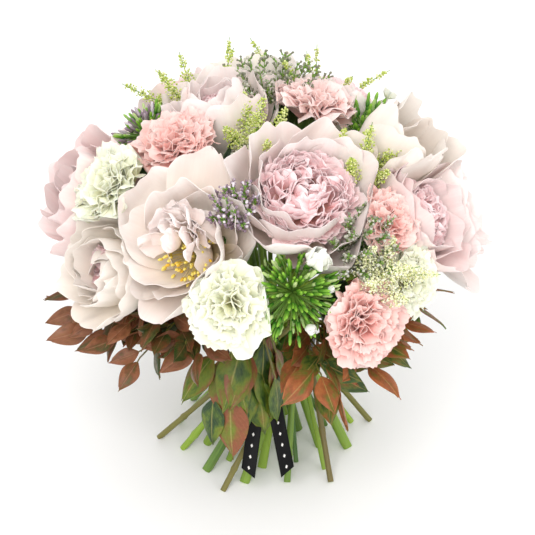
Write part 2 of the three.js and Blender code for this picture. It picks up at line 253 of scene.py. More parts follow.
def section(
    points: Array, edges: Array, origin: Array, way: Array, reach: float
) -> tuple[Array, float] | None:
    """Cuts a tube-like mesh with a plane.

    Args:
        points: The mesh's corners.
        edges: Its edges.
        origin: A point on the plane, near the tube's middle.
        way: The plane's normal.
        reach: How far from the origin the cut may lie.

    Returns:
        The middle of the cut and its radius, or None where the plane misses.
    """
    height = (points - origin) @ way
    first, second = edges[:, 0], edges[:, 1]
    crossing = (height[first] > 0) != (height[second] > 0)
    first, second = first[crossing], second[crossing]
    share = (height[first] / (height[first] - height[second]))[:, None]
    hits = points[first] + share * (points[second] - points[first])
    hits = hits[np.linalg.norm(hits - origin, axis=1) < reach]
    if len(hits) < 3:
        return None
    one = any_square_to(way)
    two = np.cross(way, one)
    flat = np.stack([(hits - origin) @ one, (hits - origin) @ two], axis=-1)
    low, high = flat.min(0), flat.max(0)
    middle = (low + high) / 2
    return origin + middle[0] * one + middle[1] * two, float((high - low).max() / 2)


def trace(node: str) -> Line:
    """Follows a stem from its cut end to its top, or to where its head begins.

    Args:
        node: The node that holds the stem.

    Returns:
        The stem's centre line.
    """
    points, edges = mesh_points(node), mesh_edges(node)
    foot = points[points[:, 2] < 0.2 * MM]
    centre = (foot.min(0) + foot.max(0)) / 2
    first = section(points, edges, centre + 4 * MM * UP, UP, 16 * MM)
    way = unit(first[0] - centre)
    square = section(points, edges, centre + 9 * MM * way, way, 12 * MM)
    radius = square[1]
    path = [centre, square[0]]
    for _ in range(TRACE_LIMIT):
        way = unit(path[-1] - path[-2])
        cut = section(points, edges, path[-1] + TRACE_STEP * way, way, 2.6 * radius)
        if cut is None or cut[1] > 1.7 * radius:
            break
        path.append(cut[0])
    last = path[-1]
    left = min(float(((points - last) @ way).max()), TRACE_STEP) if cut is None else 0.0
    path.append(last + max(left, 0.5 * MM) * way)
    return Line(np.array(path), radius)


def head_on(node: str, line: Line) -> Head:
    """Measures a flower's head from the top of its stem.

    Args:
        node: The node that holds the head.
        line: The stem that it sits on.

    Returns:
        The head's place and size.
    """
    points = mesh_points(node) - line.tip
    along = points @ line.way
    aside = np.linalg.norm(points - along[:, None] * line.way, axis=1)
    return Head(line.tip, line.way, float(aside[along > 0].max()), float(along.max()))


# ---------------------------------------------------------------- petals and leaves


@dataclass(frozen=True)
class PetalCut:
    """How one kind of petal or leaf is cut and shaped.

    Lengths are in metres, angles in radians, and depths of folds and teeth are shares of the length.
    """

    length: float
    width: float  # from the middle to an edge, at the widest
    curl: float = 0.6  # how far it turns from its base to its tip
    cup: float = 0.5  # how far its edges turn up
    neck: float = 0.3  # width of the base, as a share
    widest: float = 0.62  # where along it is widest
    shoulder: float = 0.5  # width at the tip, as a share, before the corners are rounded
    corner: float = 0.2  # how far the corners fall back
    notch: float = 0.0  # depth of the dip in the tip
    teeth: int = 0
    tooth: float = 0.0
    folds: float = 2.0  # waves from edge to edge
    fold: float = 0.03  # depth of the waves at the tip
    crease: float = 0.0  # depth of small crumples all over
    bow: float = 0.0  # how much more it bends near its base than near its tip
    flare: float = 0.0  # how far its tip turns back
    thickness: float = 0.4 * MM
    across: int = 14
    along: int = 9

    def sized(self, length: float) -> "PetalCut":
        """Returns the cut at a length, with its width in proportion."""
        return replace(self, length=length, width=self.width * length / self.length)

    def grid(self, base: Array, growth: Array, bend: Array, rng: Random, size: float = 1.0) -> Array:
        """Lays one petal out in space.

        Args:
            base: Where it starts.
            growth: The direction that it leaves in.
            bend: The direction that it curls towards.
            rng: Where its own small differences come from.
            size: How large it is, as a share of the cut.

        Returns:
            Its middle surface, as points across by points along.
        """
        u, v = np.meshgrid(np.linspace(-1, 1, self.across), np.linspace(0, 1, self.along), indexing="ij")
        growth = unit(growth)
        bend = square_to(growth, bend)
        aside = np.cross(growth, bend)
        length, width = self.length * size, self.width * size
        phase = rng.uniform(0, FULL_TURN, 6)
        skew = rng.normal(0, 0.05)
        ragged = 0.03 * np.sin(5 * u + phase[0]) + 0.02 * np.sin(11 * u + phase[1])
        dip = self.notch * np.exp(-(((u - 3 * skew) / 0.13) ** 2))
        drop = self.corner * np.abs(u) ** 3.6 + dip + ragged + skew * u
        if self.teeth:
            drop = drop + self.tooth * (1 - np.abs(((u + 1) * self.teeth / 2 + phase[2]) % 1 * 2 - 1))
        far = v * (1 - drop * v**2)
        below = np.sin(0.5 * math.pi * np.clip(far / self.widest, 0, 1))
        above = np.cos(0.5 * math.pi * np.clip((far - self.widest) / (1 - self.widest), 0, 1))
        rising = self.neck + (1 - self.neck) * below
        falling = self.shoulder + (1 - self.shoulder) * above
        spread = np.where(far < self.widest, rising, falling)
        step = np.linspace(0, 1.1, 67)
        bending = self.curl * (1 + rng.normal(0, 0.1)) * step * (1 + self.bow * (1 - step))
        bending = bending - self.flare * np.maximum(step - 0.7, 0) ** 2 * 11
        gained = np.stack([np.cos(bending), np.sin(bending)]) * (step[1] - step[0])
        halfway = (gained[:, 1:] + gained[:, :-1]) / 2
        run = np.concatenate([np.zeros((2, 1)), np.cumsum(halfway, axis=1)], axis=1)
        ahead = length * np.interp(far, step, run[0])
        aloft = length * np.interp(far, step, run[1])
        slope = np.interp(far, step, bending)
        cup = self.cup + 1e-3
        sweep = width * spread * np.sin(cup * u) / cup
        lift = width * spread * (1 - np.cos(cup * u)) / cup
        wave = np.sin(math.pi * self.folds * u + phase[3] + 1.5 * v) * (0.35 + 0.65 * np.abs(u))
        small = np.sin(7 * u + 5 * v + phase[4]) * np.sin(9 * v - 6 * u + phase[5])
        ripple = length * (self.fold * wave * far**1.6 + self.crease * small * np.sqrt(far))
        face = -np.sin(slope)[..., None] * growth + np.cos(slope)[..., None] * bend
        shares = zip((ahead, aloft, sweep, lift + ripple), (growth, bend, aside, face))
        return base + sum(share[..., None] * way for share, way in shares)


# Cuts one metre long, which each flower sizes for itself, and small ones at their own size.
GUARD = PetalCut(1.0, 1.0, 1.2, 0.85, 0.3, 0.66, 0.94, 0.24, 0.06, folds=2.3, fold=0.045, crease=0.011,
                 bow=0.25, flare=0.2, thickness=0.3 * MM, across=28, along=20)
RUFFLE = PetalCut(1.0, 0.56, 1.0, 0.5, 0.45, 0.72, 0.85, 0.3, 0.14, 2, 0.05, folds=1.7, fold=0.11,
                  crease=0.035, thickness=0.2 * MM, across=14, along=10)
SEPAL = PetalCut(1.0, 0.34, 0.9, 0.7, 0.5, 0.45, 0.15, 0.2, thickness=0.7 * MM, across=9, along=9)
FRILL = PetalCut(1.0, 0.52, 1.0, 0.25, 0.16, 0.88, 0.95, 0.14, 0.0, 9, 0.07, folds=2.2, fold=0.13,
                 crease=0.02, thickness=0.25 * MM, across=19, along=10)
STEM_LEAF = PetalCut(1.0, 0.17, 0.35, 0.35, 0.08, 0.58, 0.04, 0.1, folds=1.5, fold=0.02, crease=0.005,
                     thickness=0.5 * MM, across=9, along=15)
COLLAR_LEAF = PetalCut(1.0, 0.27, 0.35, 0.3, 0.1, 0.38, 0.03, 0.08, folds=1.2, fold=0.025, crease=0.006,
                       thickness=0.4 * MM, across=11, along=16)
FLORET = PetalCut(9 * MM, 4.2 * MM, 0.4, 0.3, 0.25, 0.65, 0.6, 0.15, thickness=0.35 * MM, across=8, along=6)
FURLED = PetalCut(17 * MM, 9 * MM, 1.5, 1.1, 0.4, 0.55, 0.7, 0.3, folds=1.3, fold=0.03,
                  thickness=0.35 * MM, across=12, along=12)
NARROW_LEAF = PetalCut(30 * MM, 4 * MM, 0.5, 0.4, 0.3, 0.4, 0.05, 0.05, folds=1, fold=0.01, across=7, along=9)
BROAD_LEAF = replace(NARROW_LEAF, length=50 * MM, width=11 * MM, curl=0.8, fold=0.03)

# Outlines of small turned solids, from base to tip, as shares of their radius and of their length.
RECEPTACLE = ((0.35, 0.0), (0.8, 0.2), (1.0, 0.5), (0.85, 0.85), (0.4, 1.0))
THREAD = ((1.0, 0.02), (0.8, 0.5), (0.6, 0.98))
ANTHER = ((0.7, 0.1), (1.0, 0.4), (0.9, 0.7), (0.4, 0.95))
CALYX = ((0.55, 0.0), (0.85, 0.12), (1.0, 0.4), (0.95, 0.8), (0.8, 1.0))
BUD = ((0.55, 0.0), (0.95, 0.14), (1.0, 0.3), (0.72, 0.5), (0.85, 0.68), (0.6, 0.88), (0.2, 0.98))
TRUMPET = ((0.35, 0.0), (0.5, 0.4), (1.0, 0.85), (0.8, 1.0))
HUSK = ((0.6, 0.1), (1.0, 0.45), (0.7, 0.9))
BEAD = ((0.75, 0.2), (1.0, 0.5), (0.75, 0.8))


# ---------------------------------------------------------------- mesh making

PRESS_DEPTH = 2.5 * MM  # how far petals reach past the border with a neighbour
PRESS_SOFTNESS = 9 * MM
PRESS_REACH = 1.35  # heads further apart than this share of their radii don't press each other
SHARP_ANGLE = math.radians(75)


def wall_of(rings: int, sides: int) -> tuple[Array, Array]:
    """Returns the point numbers of a turned surface, ring by ring, and the faces between them."""
    ids = np.arange(rings * sides).reshape(rings, sides)
    after = np.roll(ids, -1, axis=1)
    return ids, np.stack([ids[:-1], after[:-1], after[1:], ids[1:]], axis=-1).reshape(-1, 4)


class Mould:
    """Gathers shells, tubes and small solids into the mesh of one piece."""

    def __init__(self) -> None:
        """Starts empty."""
        self.points: list[Array] = []
        self.marks: list[Array] = []
        self.faces: list[list[int]] = []
        self.parts: list[Array] = []
        self.total = 0

    def add(self, points: Array, marks: Array, *groups: tuple[Array, int]) -> None:
        """Adds points and the faces between them.

        Args:
            points: The new points.
            marks: The sheet attribute of each new point.
            *groups: Faces, with corners counted from the first new point, and the finish that they take.
        """
        for faces, part in groups:
            self.faces.extend((faces + self.total).tolist())
            self.parts.append(np.full(len(faces), part))
        self.points.append(points.reshape(-1, 3))
        self.marks.append(marks.reshape(-1, 3))
        self.total += len(self.points[-1])

    def shell(self, grid: Array, thickness: float, part: int, seed: float) -> None:
        """Adds a thin closed shell around a sheet.

        Args:
            grid: The sheet's middle surface, as points across by points along.
            thickness: How thick the shell is.
            part: Which finish it takes.
            seed: A number from 0 to 1 of the sheet's own.
        """
        across, along = grid.shape[:2]
        normal = unit(np.cross(np.gradient(grid, axis=0), np.gradient(grid, axis=1)))
        points = np.stack([grid + normal * thickness / 2, grid - normal * thickness / 2])
        u, v = np.meshgrid(np.linspace(-1, 1, across), np.linspace(0, 1, along), indexing="ij")
        mark = np.stack([u, v, np.full_like(u, seed)], axis=-1)
        ids = np.arange(across * along).reshape(across, along)
        front = np.stack([ids[:-1, :-1], ids[1:, :-1], ids[1:, 1:], ids[:-1, 1:]], axis=-1).reshape(-1, 4)
        back = front[:, ::-1] + ids.size
        loop = np.concatenate([ids[:, 0], ids[-1, 1:], ids[-2::-1, -1], ids[0, -2:0:-1]])
        after = np.roll(loop, -1)
        rim = np.stack([after, loop, loop + ids.size, after + ids.size], axis=-1)
        self.add(points, np.stack([mark, mark]), (np.concatenate([front, back, rim]), part))

    def petal(self, cut: PetalCut, base: Array, growth: Array, bend: Array, rng: Random, part: int,
              size: float = 1.0, heads: Sequence[Head] = ()) -> None:
        """Adds a petal or leaf, unless it would run into a head.

        Args:
            cut: How it is cut.
            base: Where it starts.
            growth: The direction that it leaves in.
            bend: The direction that it curls towards.
            rng: Where its own small differences come from.
            part: Which finish it takes.
            size: How large it is, as a share of the cut.
            heads: The heads that it keeps out of.
        """
        grid = cut.grid(base, growth, bend, rng, size)
        if clear_of(grid, heads):
            self.shell(grid, cut.thickness, part, rng.random())

    def tube(self, path: Array, radii: Array, sides: int, part: int, seed: float, cut_part: int | None = None,
             flute: float = 0.0) -> None:
        """Adds a round solid along a line.

        Args:
            path: The centre line's points.
            radii: The radius at each point.
            sides: How many sides the section has.
            part: Which finish the side takes.
            seed: A number from 0 to 1 of the tube's own.
            cut_part: Which finish the two ends take, if not the side's.
            flute: How deep the lengthwise grooves are, as a share of the radius.
        """
        tangent = unit(np.gradient(path, axis=0))
        normal = np.empty_like(path)
        normal[0] = any_square_to(tangent[0])
        for i in range(1, len(path)):
            normal[i] = square_to(tangent[i], normal[i - 1])
        aside = np.cross(tangent, normal)
        turn = np.arange(sides) * FULL_TURN / sides
        swell = 1 + flute * np.cos(turn * 4 + seed * 9)
        one, two = (np.cos(turn) * swell)[:, None], (np.sin(turn) * swell)[:, None]
        ring = one * normal[:, None] + two * aside[:, None]
        points = path[:, None] + ring * np.asarray(radii)[:, None, None]
        u, v = np.meshgrid(turn / FULL_TURN, np.linspace(0, 1, len(path)), indexing="xy")
        ids, wall = wall_of(len(path), sides)
        caps = np.stack([ids[0][::-1], ids[-1]])
        marks = np.stack([u, v, np.full_like(u, seed)], axis=-1)
        self.add(points, marks, (wall, part), (caps, part if cut_part is None else cut_part))

    def twig(self, points: Sequence[Array], steps: int, thick: float, thin: float, part: int,
             seed: float) -> Array:
        """Adds a thin, five-sided stalk and returns its centre line.

        Args:
            points: The points that it passes through.
            steps: How many points its own line has.
            thick: Its radius at the base.
            thin: Its radius at the tip.
            part: Which finish it takes.
            seed: A number from 0 to 1 of its own.

        Returns:
            Its centre line.
        """
        path = smooth_path(points, steps)
        self.tube(path, np.linspace(thick, thin, steps), 5, part, seed)
        return path

    def spindles(self, origins: Array, ways: Array, lengths: Array | float, radii: Array | float,
                 profile: Sequence[tuple[float, float]], sides: int, part: int,
                 seeds: Array | Sequence[float]) -> None:
        """Adds many small turned solids at once, such as buds, beads and anthers.

        Args:
            origins: Where each one starts.
            ways: The direction that each one points in.
            lengths: How long each one is.
            radii: How wide each one is.
            profile: The outline from base to tip.
            sides: How many sides each one has.
            part: Which finish they take.
            seeds: A number from 0 to 1 for each one.
        """
        count, rings = len(origins), len(profile)
        ways = unit(ways)
        one = any_square_to(ways)
        two = np.cross(ways, one)
        turn = np.arange(sides) * FULL_TURN / sides
        rays = np.cos(turn)[:, None] * one[:, None] + np.sin(turn)[:, None] * two[:, None]
        wide, high = np.array(profile).T
        lengths = np.broadcast_to(lengths, (count,))[:, None]
        radii = np.broadcast_to(radii, (count,))[:, None]
        centre = origins[:, None] + ways[:, None] * (high * lengths)[..., None]
        rim = centre[:, :, None] + rays[:, None] * (wide * radii)[..., None, None]
        tips = np.stack([origins, origins + ways * lengths], axis=1)
        points = np.concatenate([rim.reshape(count, -1, 3), tips], axis=1)
        u = np.append(np.tile(turn / FULL_TURN, rings), [0.5, 0.5])
        v = np.append(np.repeat(high, sides), [0.0, 1.0])
        marks = np.stack(np.broadcast_arrays(u, v, np.asarray(seeds)[:, None]), axis=-1)
        ids, wall = wall_of(rings, sides)
        low, top = np.full(sides, rings * sides), np.full(sides, rings * sides + 1)
        fans = np.concatenate([np.stack([low, np.roll(ids[0], -1), ids[0]], axis=-1),
                               np.stack([top, ids[-1], np.roll(ids[-1], -1)], axis=-1)])
        shift = (np.arange(count) * (rings * sides + 2))[:, None, None]
        self.add(points, marks, ((wall + shift).reshape(-1, 4), part), ((fans + shift).reshape(-1, 3), part))

    def press(self, head: Head, others: Sequence[Head]) -> None:
        """Presses the gathered mesh flat where neighbouring heads meet it.

        Args:
            head: The head that the mesh belongs to.
            others: Every head that may touch it.
        """
        for other in others:
            apart = head.middle - other.middle
            distance = float(np.linalg.norm(apart))
            if distance > PRESS_REACH * (head.radius + other.radius):
                continue
            way = apart / distance
            border = other.middle + other.room / (head.room + other.room) * apart
            for points in self.points:
                past = np.maximum(-((points - border) @ way), 0.0)
                kept = PRESS_DEPTH * (1 - np.exp(-past / PRESS_SOFTNESS))
                points += (past - kept)[:, None] * way

    def build(self, name: str, finishes: Sequence[Material]) -> bpy.types.Object:
        """Makes the gathered mesh into an object.

        Args:
            name: The object's name.
            finishes: Its materials, in the order that part counts them.

        Returns:
            The new object, in the scene.
        """
        mesh = bpy.data.meshes.new(name)
        mesh.from_pydata(np.concatenate(self.points), [], self.faces)
        mesh.polygons.foreach_set("material_index", np.concatenate(self.parts).astype(np.int32))
        mesh.polygons.foreach_set("use_smooth", np.ones(len(self.faces), bool))
        marks = mesh.attributes.new(SHEET, "FLOAT_VECTOR", "POINT")
        marks.data.foreach_set("vector", np.concatenate(self.marks).astype(np.float32).ravel())
        for finish in finishes:
            mesh.materials.append(finish)
        mesh.update()
        mesh.set_sharp_from_angle(angle=SHARP_ANGLE)
        piece = bpy.data.objects.new(name, mesh)
        bpy.context.scene.collection.objects.link(piece)
        return piece


# ---------------------------------------------------------------- finishes


def colour(hex_code: str) -> tuple[float, float, float, float]:
    """Returns a colour written as six hex digits, in linear light."""
    parts = [int(hex_code[i : i + 2], 16) / 255 for i in (0, 2, 4)]
    light = [c / 12.92 if c <= 0.04045 else ((c + 0.055) / 1.055) ** 2.4 for c in parts]
    return (*light, 1.0)


class Signal:
    """A number or colour that nodes work out, with the usual signs for sums."""

    def __init__(self, recipe: "Recipe", socket: bpy.types.NodeSocket) -> None:
        """Wraps a socket of a recipe's nodes."""
        self.recipe = recipe
        self.socket = socket

    def __add__(self, other: "Value") -> "Signal":
        """Returns the sum."""
        return self.recipe.maths("ADD", self, other)

    def __sub__(self, other: "Value") -> "Signal":
        """Returns the difference."""
        return self.recipe.maths("SUBTRACT", self, other)

    def __mul__(self, other: "Value") -> "Signal":
        """Returns the product."""
        return self.recipe.maths("MULTIPLY", self, other)

    def __abs__(self) -> "Signal":
        """Returns the size without its sign."""
        return self.recipe.maths("ABSOLUTE", self)

    def spread(self, low: float, high: float, to_low: float = 0.0, to_high: float = 1.0) -> "Signal":
        """Returns it with one range stretched to another and the ends held."""
        return self.recipe.make("MapRange", self, low, high, to_low, to_high)


Value = Signal | float | str | Sequence[float]


class Recipe:
    """Builds a material's nodes, with the piece's own across, along and seed to hand."""

    def __init__(self, name: str) -> None:
        """Starts a material with a shader and the sheet attribute.

        Args:
            name: The material's name.
        """
        self.material = bpy.data.materials.new(name)
        self.material.use_nodes = True
        self.tree = self.material.node_tree
        self.shader = self.tree.nodes["Principled BSDF"]
        mark = self.tree.nodes.new("ShaderNodeAttribute")
        mark.attribute_name = SHEET
        split = self.tree.nodes.new("ShaderNodeSeparateXYZ")
        self.tree.links.new(mark.outputs["Vector"], split.inputs[0])
        self.across, self.along, self.seed = (Signal(self, socket) for socket in split.outputs)

    def feed(self, socket: bpy.types.NodeSocket, value: Value) -> None:
        """Gives a socket a number, a colour in hex digits, or a signal.

        Args:
            socket: The socket.
            value: What it gets.
        """
        if isinstance(value, Signal):
            self.tree.links.new(value.socket, socket)
        else:
            socket.default_value = colour(value) if isinstance(value, str) else value

    def make(self, kind: str, *values: Value, **options: str) -> Signal:
        """Adds a node.

        Args:
            kind: The node's kind, without the words that all shader nodes start with.
            *values: What its first sockets get.
            **options: Its settings.

        Returns:
            Its first result.
        """
        made = self.tree.nodes.new(f"ShaderNode{kind}")
        for name, option in options.items():
            setattr(made, name, option)
        for socket, value in zip(made.inputs, values):
            self.feed(socket, value)
        return Signal(self, made.outputs[0])

    def maths(self, kind: str, *values: Value) -> Signal:
        """Returns the result of a sum."""
        return self.make("Math", *values, operation=kind)

    def vector(self, x: Value, y: Value, z: Value) -> Signal:
        """Returns three numbers joined into a vector."""
        return self.make("CombineXYZ", x, y, z)

    def ramp(self, factor: Signal, shades: Sequence[str], low: float = 0.0, high: float = 1.0) -> Signal:
        """Returns a colour that runs through some shades, evenly spaced.

        Args:
            factor: What it changes with.
            shades: The shades, in hex digits.
            low: Where the first one is.
            high: Where the last one is.

        Returns:
            The colour.
        """
        made = self.make("ValToRGB", factor)
        elements = made.socket.node.color_ramp.elements
        while len(elements) < len(shades):
            elements.new(0.5)
        for i, (element, shade) in enumerate(zip(elements, shades)):
            element.position = low + (high - low) * i / (len(shades) - 1)
            element.color = colour(shade)
        return made

    def noise(self, place: Signal | None, scale: float, detail: float = 3.0, rough: float = 0.55) -> Signal:
        """Adds noise from 0 to 1.

        Args:
            place: Where it is read, or None for the piece's own place in space.
            scale: How fine it is.
            detail: How many finer layers it has.
            rough: How strong the finer layers are.

        Returns:
            The noise.
        """
        made = self.tree.nodes.new("ShaderNodeTexNoise")
        if place is None:
            place = Signal(self, self.tree.nodes.new("ShaderNodeTexCoord").outputs["Object"])
        for name, value in (("Vector", place), ("Scale", scale), ("Detail", detail), ("Roughness", rough)):
            self.feed(made.inputs[name], value)
        return Signal(self, made.outputs["Fac"])

    def mix(self, factor: Value, one: Value, two: Value, kind: str = "MIX") -> Signal:
        """Mixes two colours.

        Args:
            factor: How much of the second there is.
            one: The first.
            two: The second.
            kind: How they blend.

        Returns:
            The mixed colour.
        """
        made = self.make("Mix", factor, data_type="RGBA", blend_type=kind).socket.node
        colours = [socket for socket in made.inputs if socket.type == "RGBA"]
        self.feed(colours[0], one)
        self.feed(colours[1], two)
        return Signal(self, next(socket for socket in made.outputs if socket.type == "RGBA"))

    def bump(self, height: Signal, depth: float, strength: float) -> None:
        """Gives the surface a fine relief.

        Args:
            height: The relief, from 0 to 1.
            depth: How deep it is, in metres.
            strength: How much of it shows.
        """
        made = self.tree.nodes.new("ShaderNodeBump")
        for name, value in (("Strength", strength), ("Distance", depth), ("Height", height)):
            self.feed(made.inputs[name], value)
        self.tree.links.new(made.outputs[0], self.shader.inputs["Normal"])

    def finish(self, base: Value, roughness: Value, **settings: float | Sequence[float]) -> Material:
        """Sets the shader.

        Args:
            base: The base colour.
            roughness: The roughness.
            **settings: Other numbers of the shader, by name with _ for spaces.

        Returns:
            The finished material.
        """
        self.feed(self.shader.inputs["Base Color"], base)
        self.feed(self.shader.inputs["Roughness"], roughness)
        for name, value in settings.items():
            self.shader.inputs[name.replace("_", " ")].default_value = value
        return self.material


@dataclass(frozen=True)
class PetalFinish:
    """A petal's colours from its heart to its edge, with fine veins along it."""

    name: str
    heart: str
    body: str
    edge: str
    flush: str  # the colour of soft patches
    flushing: float = 0.4  # how much of the petal they cover
    veins: float = 0.3
    glow: float = 0.12  # how much light passes through

    def make(self) -> Material:
        """Makes the material.

        Returns:
            The material.
        """
        r = Recipe(self.name)
        streak = r.noise(r.vector(r.across * 16.0, r.along * 1.8, r.seed * 60.0), 1.0, 4.0, 0.6)
        patch = r.noise(r.vector(r.across * 1.2, r.along * 1.6, r.seed * 35.0), 1.0, 2.0).spread(0.42, 0.72)
        # on the peony ruffles the peach heart is partly the petals' own warm base and partly painted warm
        # shade in the depths
        tone = r.ramp(r.along, (self.heart, self.body, self.edge))
        tone = r.mix(patch * self.flushing, tone, self.flush)
        tone = r.mix(streak.spread(0.35, 0.75) * self.veins, tone, self.flush)
        shade = r.seed.spread(0.0, 1.0, 0.95, 1.0)
        tone = r.mix(1.0, tone, r.vector(shade, shade, shade), "MULTIPLY")
        r.bump(streak + r.noise(None, 900.0, 2.0) * 0.3, 0.25 * MM, 0.6)
        return r.finish(tone, streak.spread(0.3, 0.8, 0.42, 0.62), Subsurface_Weight=self.glow,
                        Subsurface_Radius=(1.0, 0.86, 0.82), Subsurface_Scale=0.9 * MM,
                        Specular_IOR_Level=0.2)


@dataclass(frozen=True)
class LeafFinish:
    """A leaf whose own shade lies somewhere along a row of shades, with a paler midrib and side veins."""

    name: str
    shades: tuple[str, ...]
    rib: str
    drift: float = 0.5  # how far patches of one leaf stray along the shades
    gloss: float = 0.36
    vein_count: float = 9.0

    def make(self) -> Material:
        """Makes the material.

        Returns:
            The material.
        """
        r = Recipe(self.name)
        aside = abs(r.across)
        patch = r.noise(r.vector(r.across * 0.9, r.along * 1.8, r.seed * 41.0), 1.3)
        patch = patch.spread(0.3, 0.7, -self.drift, self.drift)
        tone = r.ramp(r.seed + patch + aside.spread(0.5, 1.0, 0.0, 0.18), self.shades)
        slant = r.along * self.vein_count - aside * (self.vein_count * 0.45)
        vein = abs(r.maths("SINE", slant * math.pi)).spread(0.0, 0.16, 1.0, 0.0)
        midrib = aside.spread(0.02, 0.07, 1.0, 0.0)
        ribs = r.maths("MAXIMUM", vein * 0.2, midrib * 0.6)
        tone = r.mix(ribs, tone, self.rib)
        mottle = r.noise(None, 380.0)
        tone = r.mix(mottle.spread(0.35, 0.75, 0.0, 0.22), tone, "20240f")
        r.bump(mottle * 0.4 - ribs, 0.35 * MM, 0.7)
        rough = mottle.spread(0.3, 0.7, self.gloss, self.gloss + 0.16)
        return r.finish(tone, rough, Subsurface_Weight=0.12, Subsurface_Radius=(0.5, 1.0, 0.2),
                        Subsurface_Scale=1.5 * MM, Specular_IOR_Level=0.4)


@dataclass(frozen=True)
class StemFinish:
    """A green stem: each one its own shade, streaked along, with brown marks."""

    name: str
    light: str
    dark: str
    mark: str
    wear: float = 0.3

    def make(self) -> Material:
        """Makes the material.

        Returns:
            The material.
        """
        r = Recipe(self.name)
        tone = r.mix(r.seed, self.light, self.dark)
        around = r.across * FULL_TURN
        one, two = r.maths("COSINE", around) * 3.0, r.maths("SINE", around) * 3.0
        streak = r.noise(r.vector(one, two, r.along * 5.0 + r.seed * 30.0), 1.6, 4.0)
        tone = r.mix(streak.spread(0.35, 0.75, 0.0, 0.5), tone, self.light)
        spots = r.noise(None, 160.0, 4.0, 0.7).spread(0.62, 0.74, 0.0, self.wear)
        tone = r.mix(spots, tone, self.mark)
        r.bump(streak, 0.3 * MM, 0.5)
        return r.finish(tone, streak.spread(0.3, 0.8, 0.34, 0.52), Subsurface_Weight=0.15,
                        Subsurface_Radius=(0.6, 1.0, 0.3), Subsurface_Scale=1.5 * MM, Specular_IOR_Level=0.42)


@dataclass(frozen=True)
class GrainFinish:
    """Small parts such as buds, beads, anthers and cut ends: a colour from base to tip, with a fine grain."""

    name: str
    base: str
    tip: str
    other: str  # what some of them turn to
    turning: float = 0.3
    rough: float = 0.55
    grain: float = 700.0

    def make(self) -> Material:
        """Makes the material.

        Returns:
            The material.
        """
        r = Recipe(self.name)
        tone = r.ramp(r.along, (self.base, self.tip), 0.1, 0.9)
        tone = r.mix(r.seed.spread(1.0 - self.turning, 1.0 - 0.6 * self.turning), tone, self.other)
        grain = r.noise(None, self.grain, 2.0)
        tone = r.mix(grain.spread(0.3, 0.8, 0.0, 0.25), tone, self.base)
        r.bump(grain, 0.2 * MM, 0.5)
        rough = grain.spread(0.2, 0.8, self.rough - 0.08, self.rough + 0.08)
        return r.finish(tone, rough, Subsurface_Weight=0.2, Subsurface_Radius=(1.0, 0.8, 0.5),
                        Subsurface_Scale=1.0 * MM, Specular_IOR_Level=0.3)


@dataclass(frozen=True)
class SatinFinish:
    """Black satin ribbon with a woven selvedge and a row of small pale diamonds down its middle."""

    name: str = "ribbon_satin"
    cloth: str = "050506"
    sheen: str = "101013"
    pattern: str = "e8e6e2"
    spacing: float = 9.0  # diamonds along the sheet's length

    def make(self) -> Material:
        """Makes the material.

        Returns:
            The material.
        """
        r = Recipe(self.name)
        weave = r.noise(r.vector(r.across * 5.0, r.along * 220.0, 0.0), 1.0)
        lengthwise = abs(r.maths("FRACT", r.along * self.spacing) - 0.5)
        aside = abs(r.across)
        diamond = (lengthwise * 3.2 + aside * 3.0).spread(0.5, 0.6, 1.0, 0.0)
        on_tail = r.maths("GREATER_THAN", r.seed, 0.5)
        tone = r.mix(weave.spread(0.3, 0.7, 0.0, 0.35), self.cloth, self.sheen)
        tone = r.mix(diamond * on_tail, tone, self.pattern)
        r.bump(weave + aside.spread(0.86, 0.92) * 0.8, 0.15 * MM, 0.6)
        return r.finish(tone, weave.spread(0.3, 0.7, 0.34, 0.5), Specular_IOR_Level=0.14, Anisotropic=0.5)


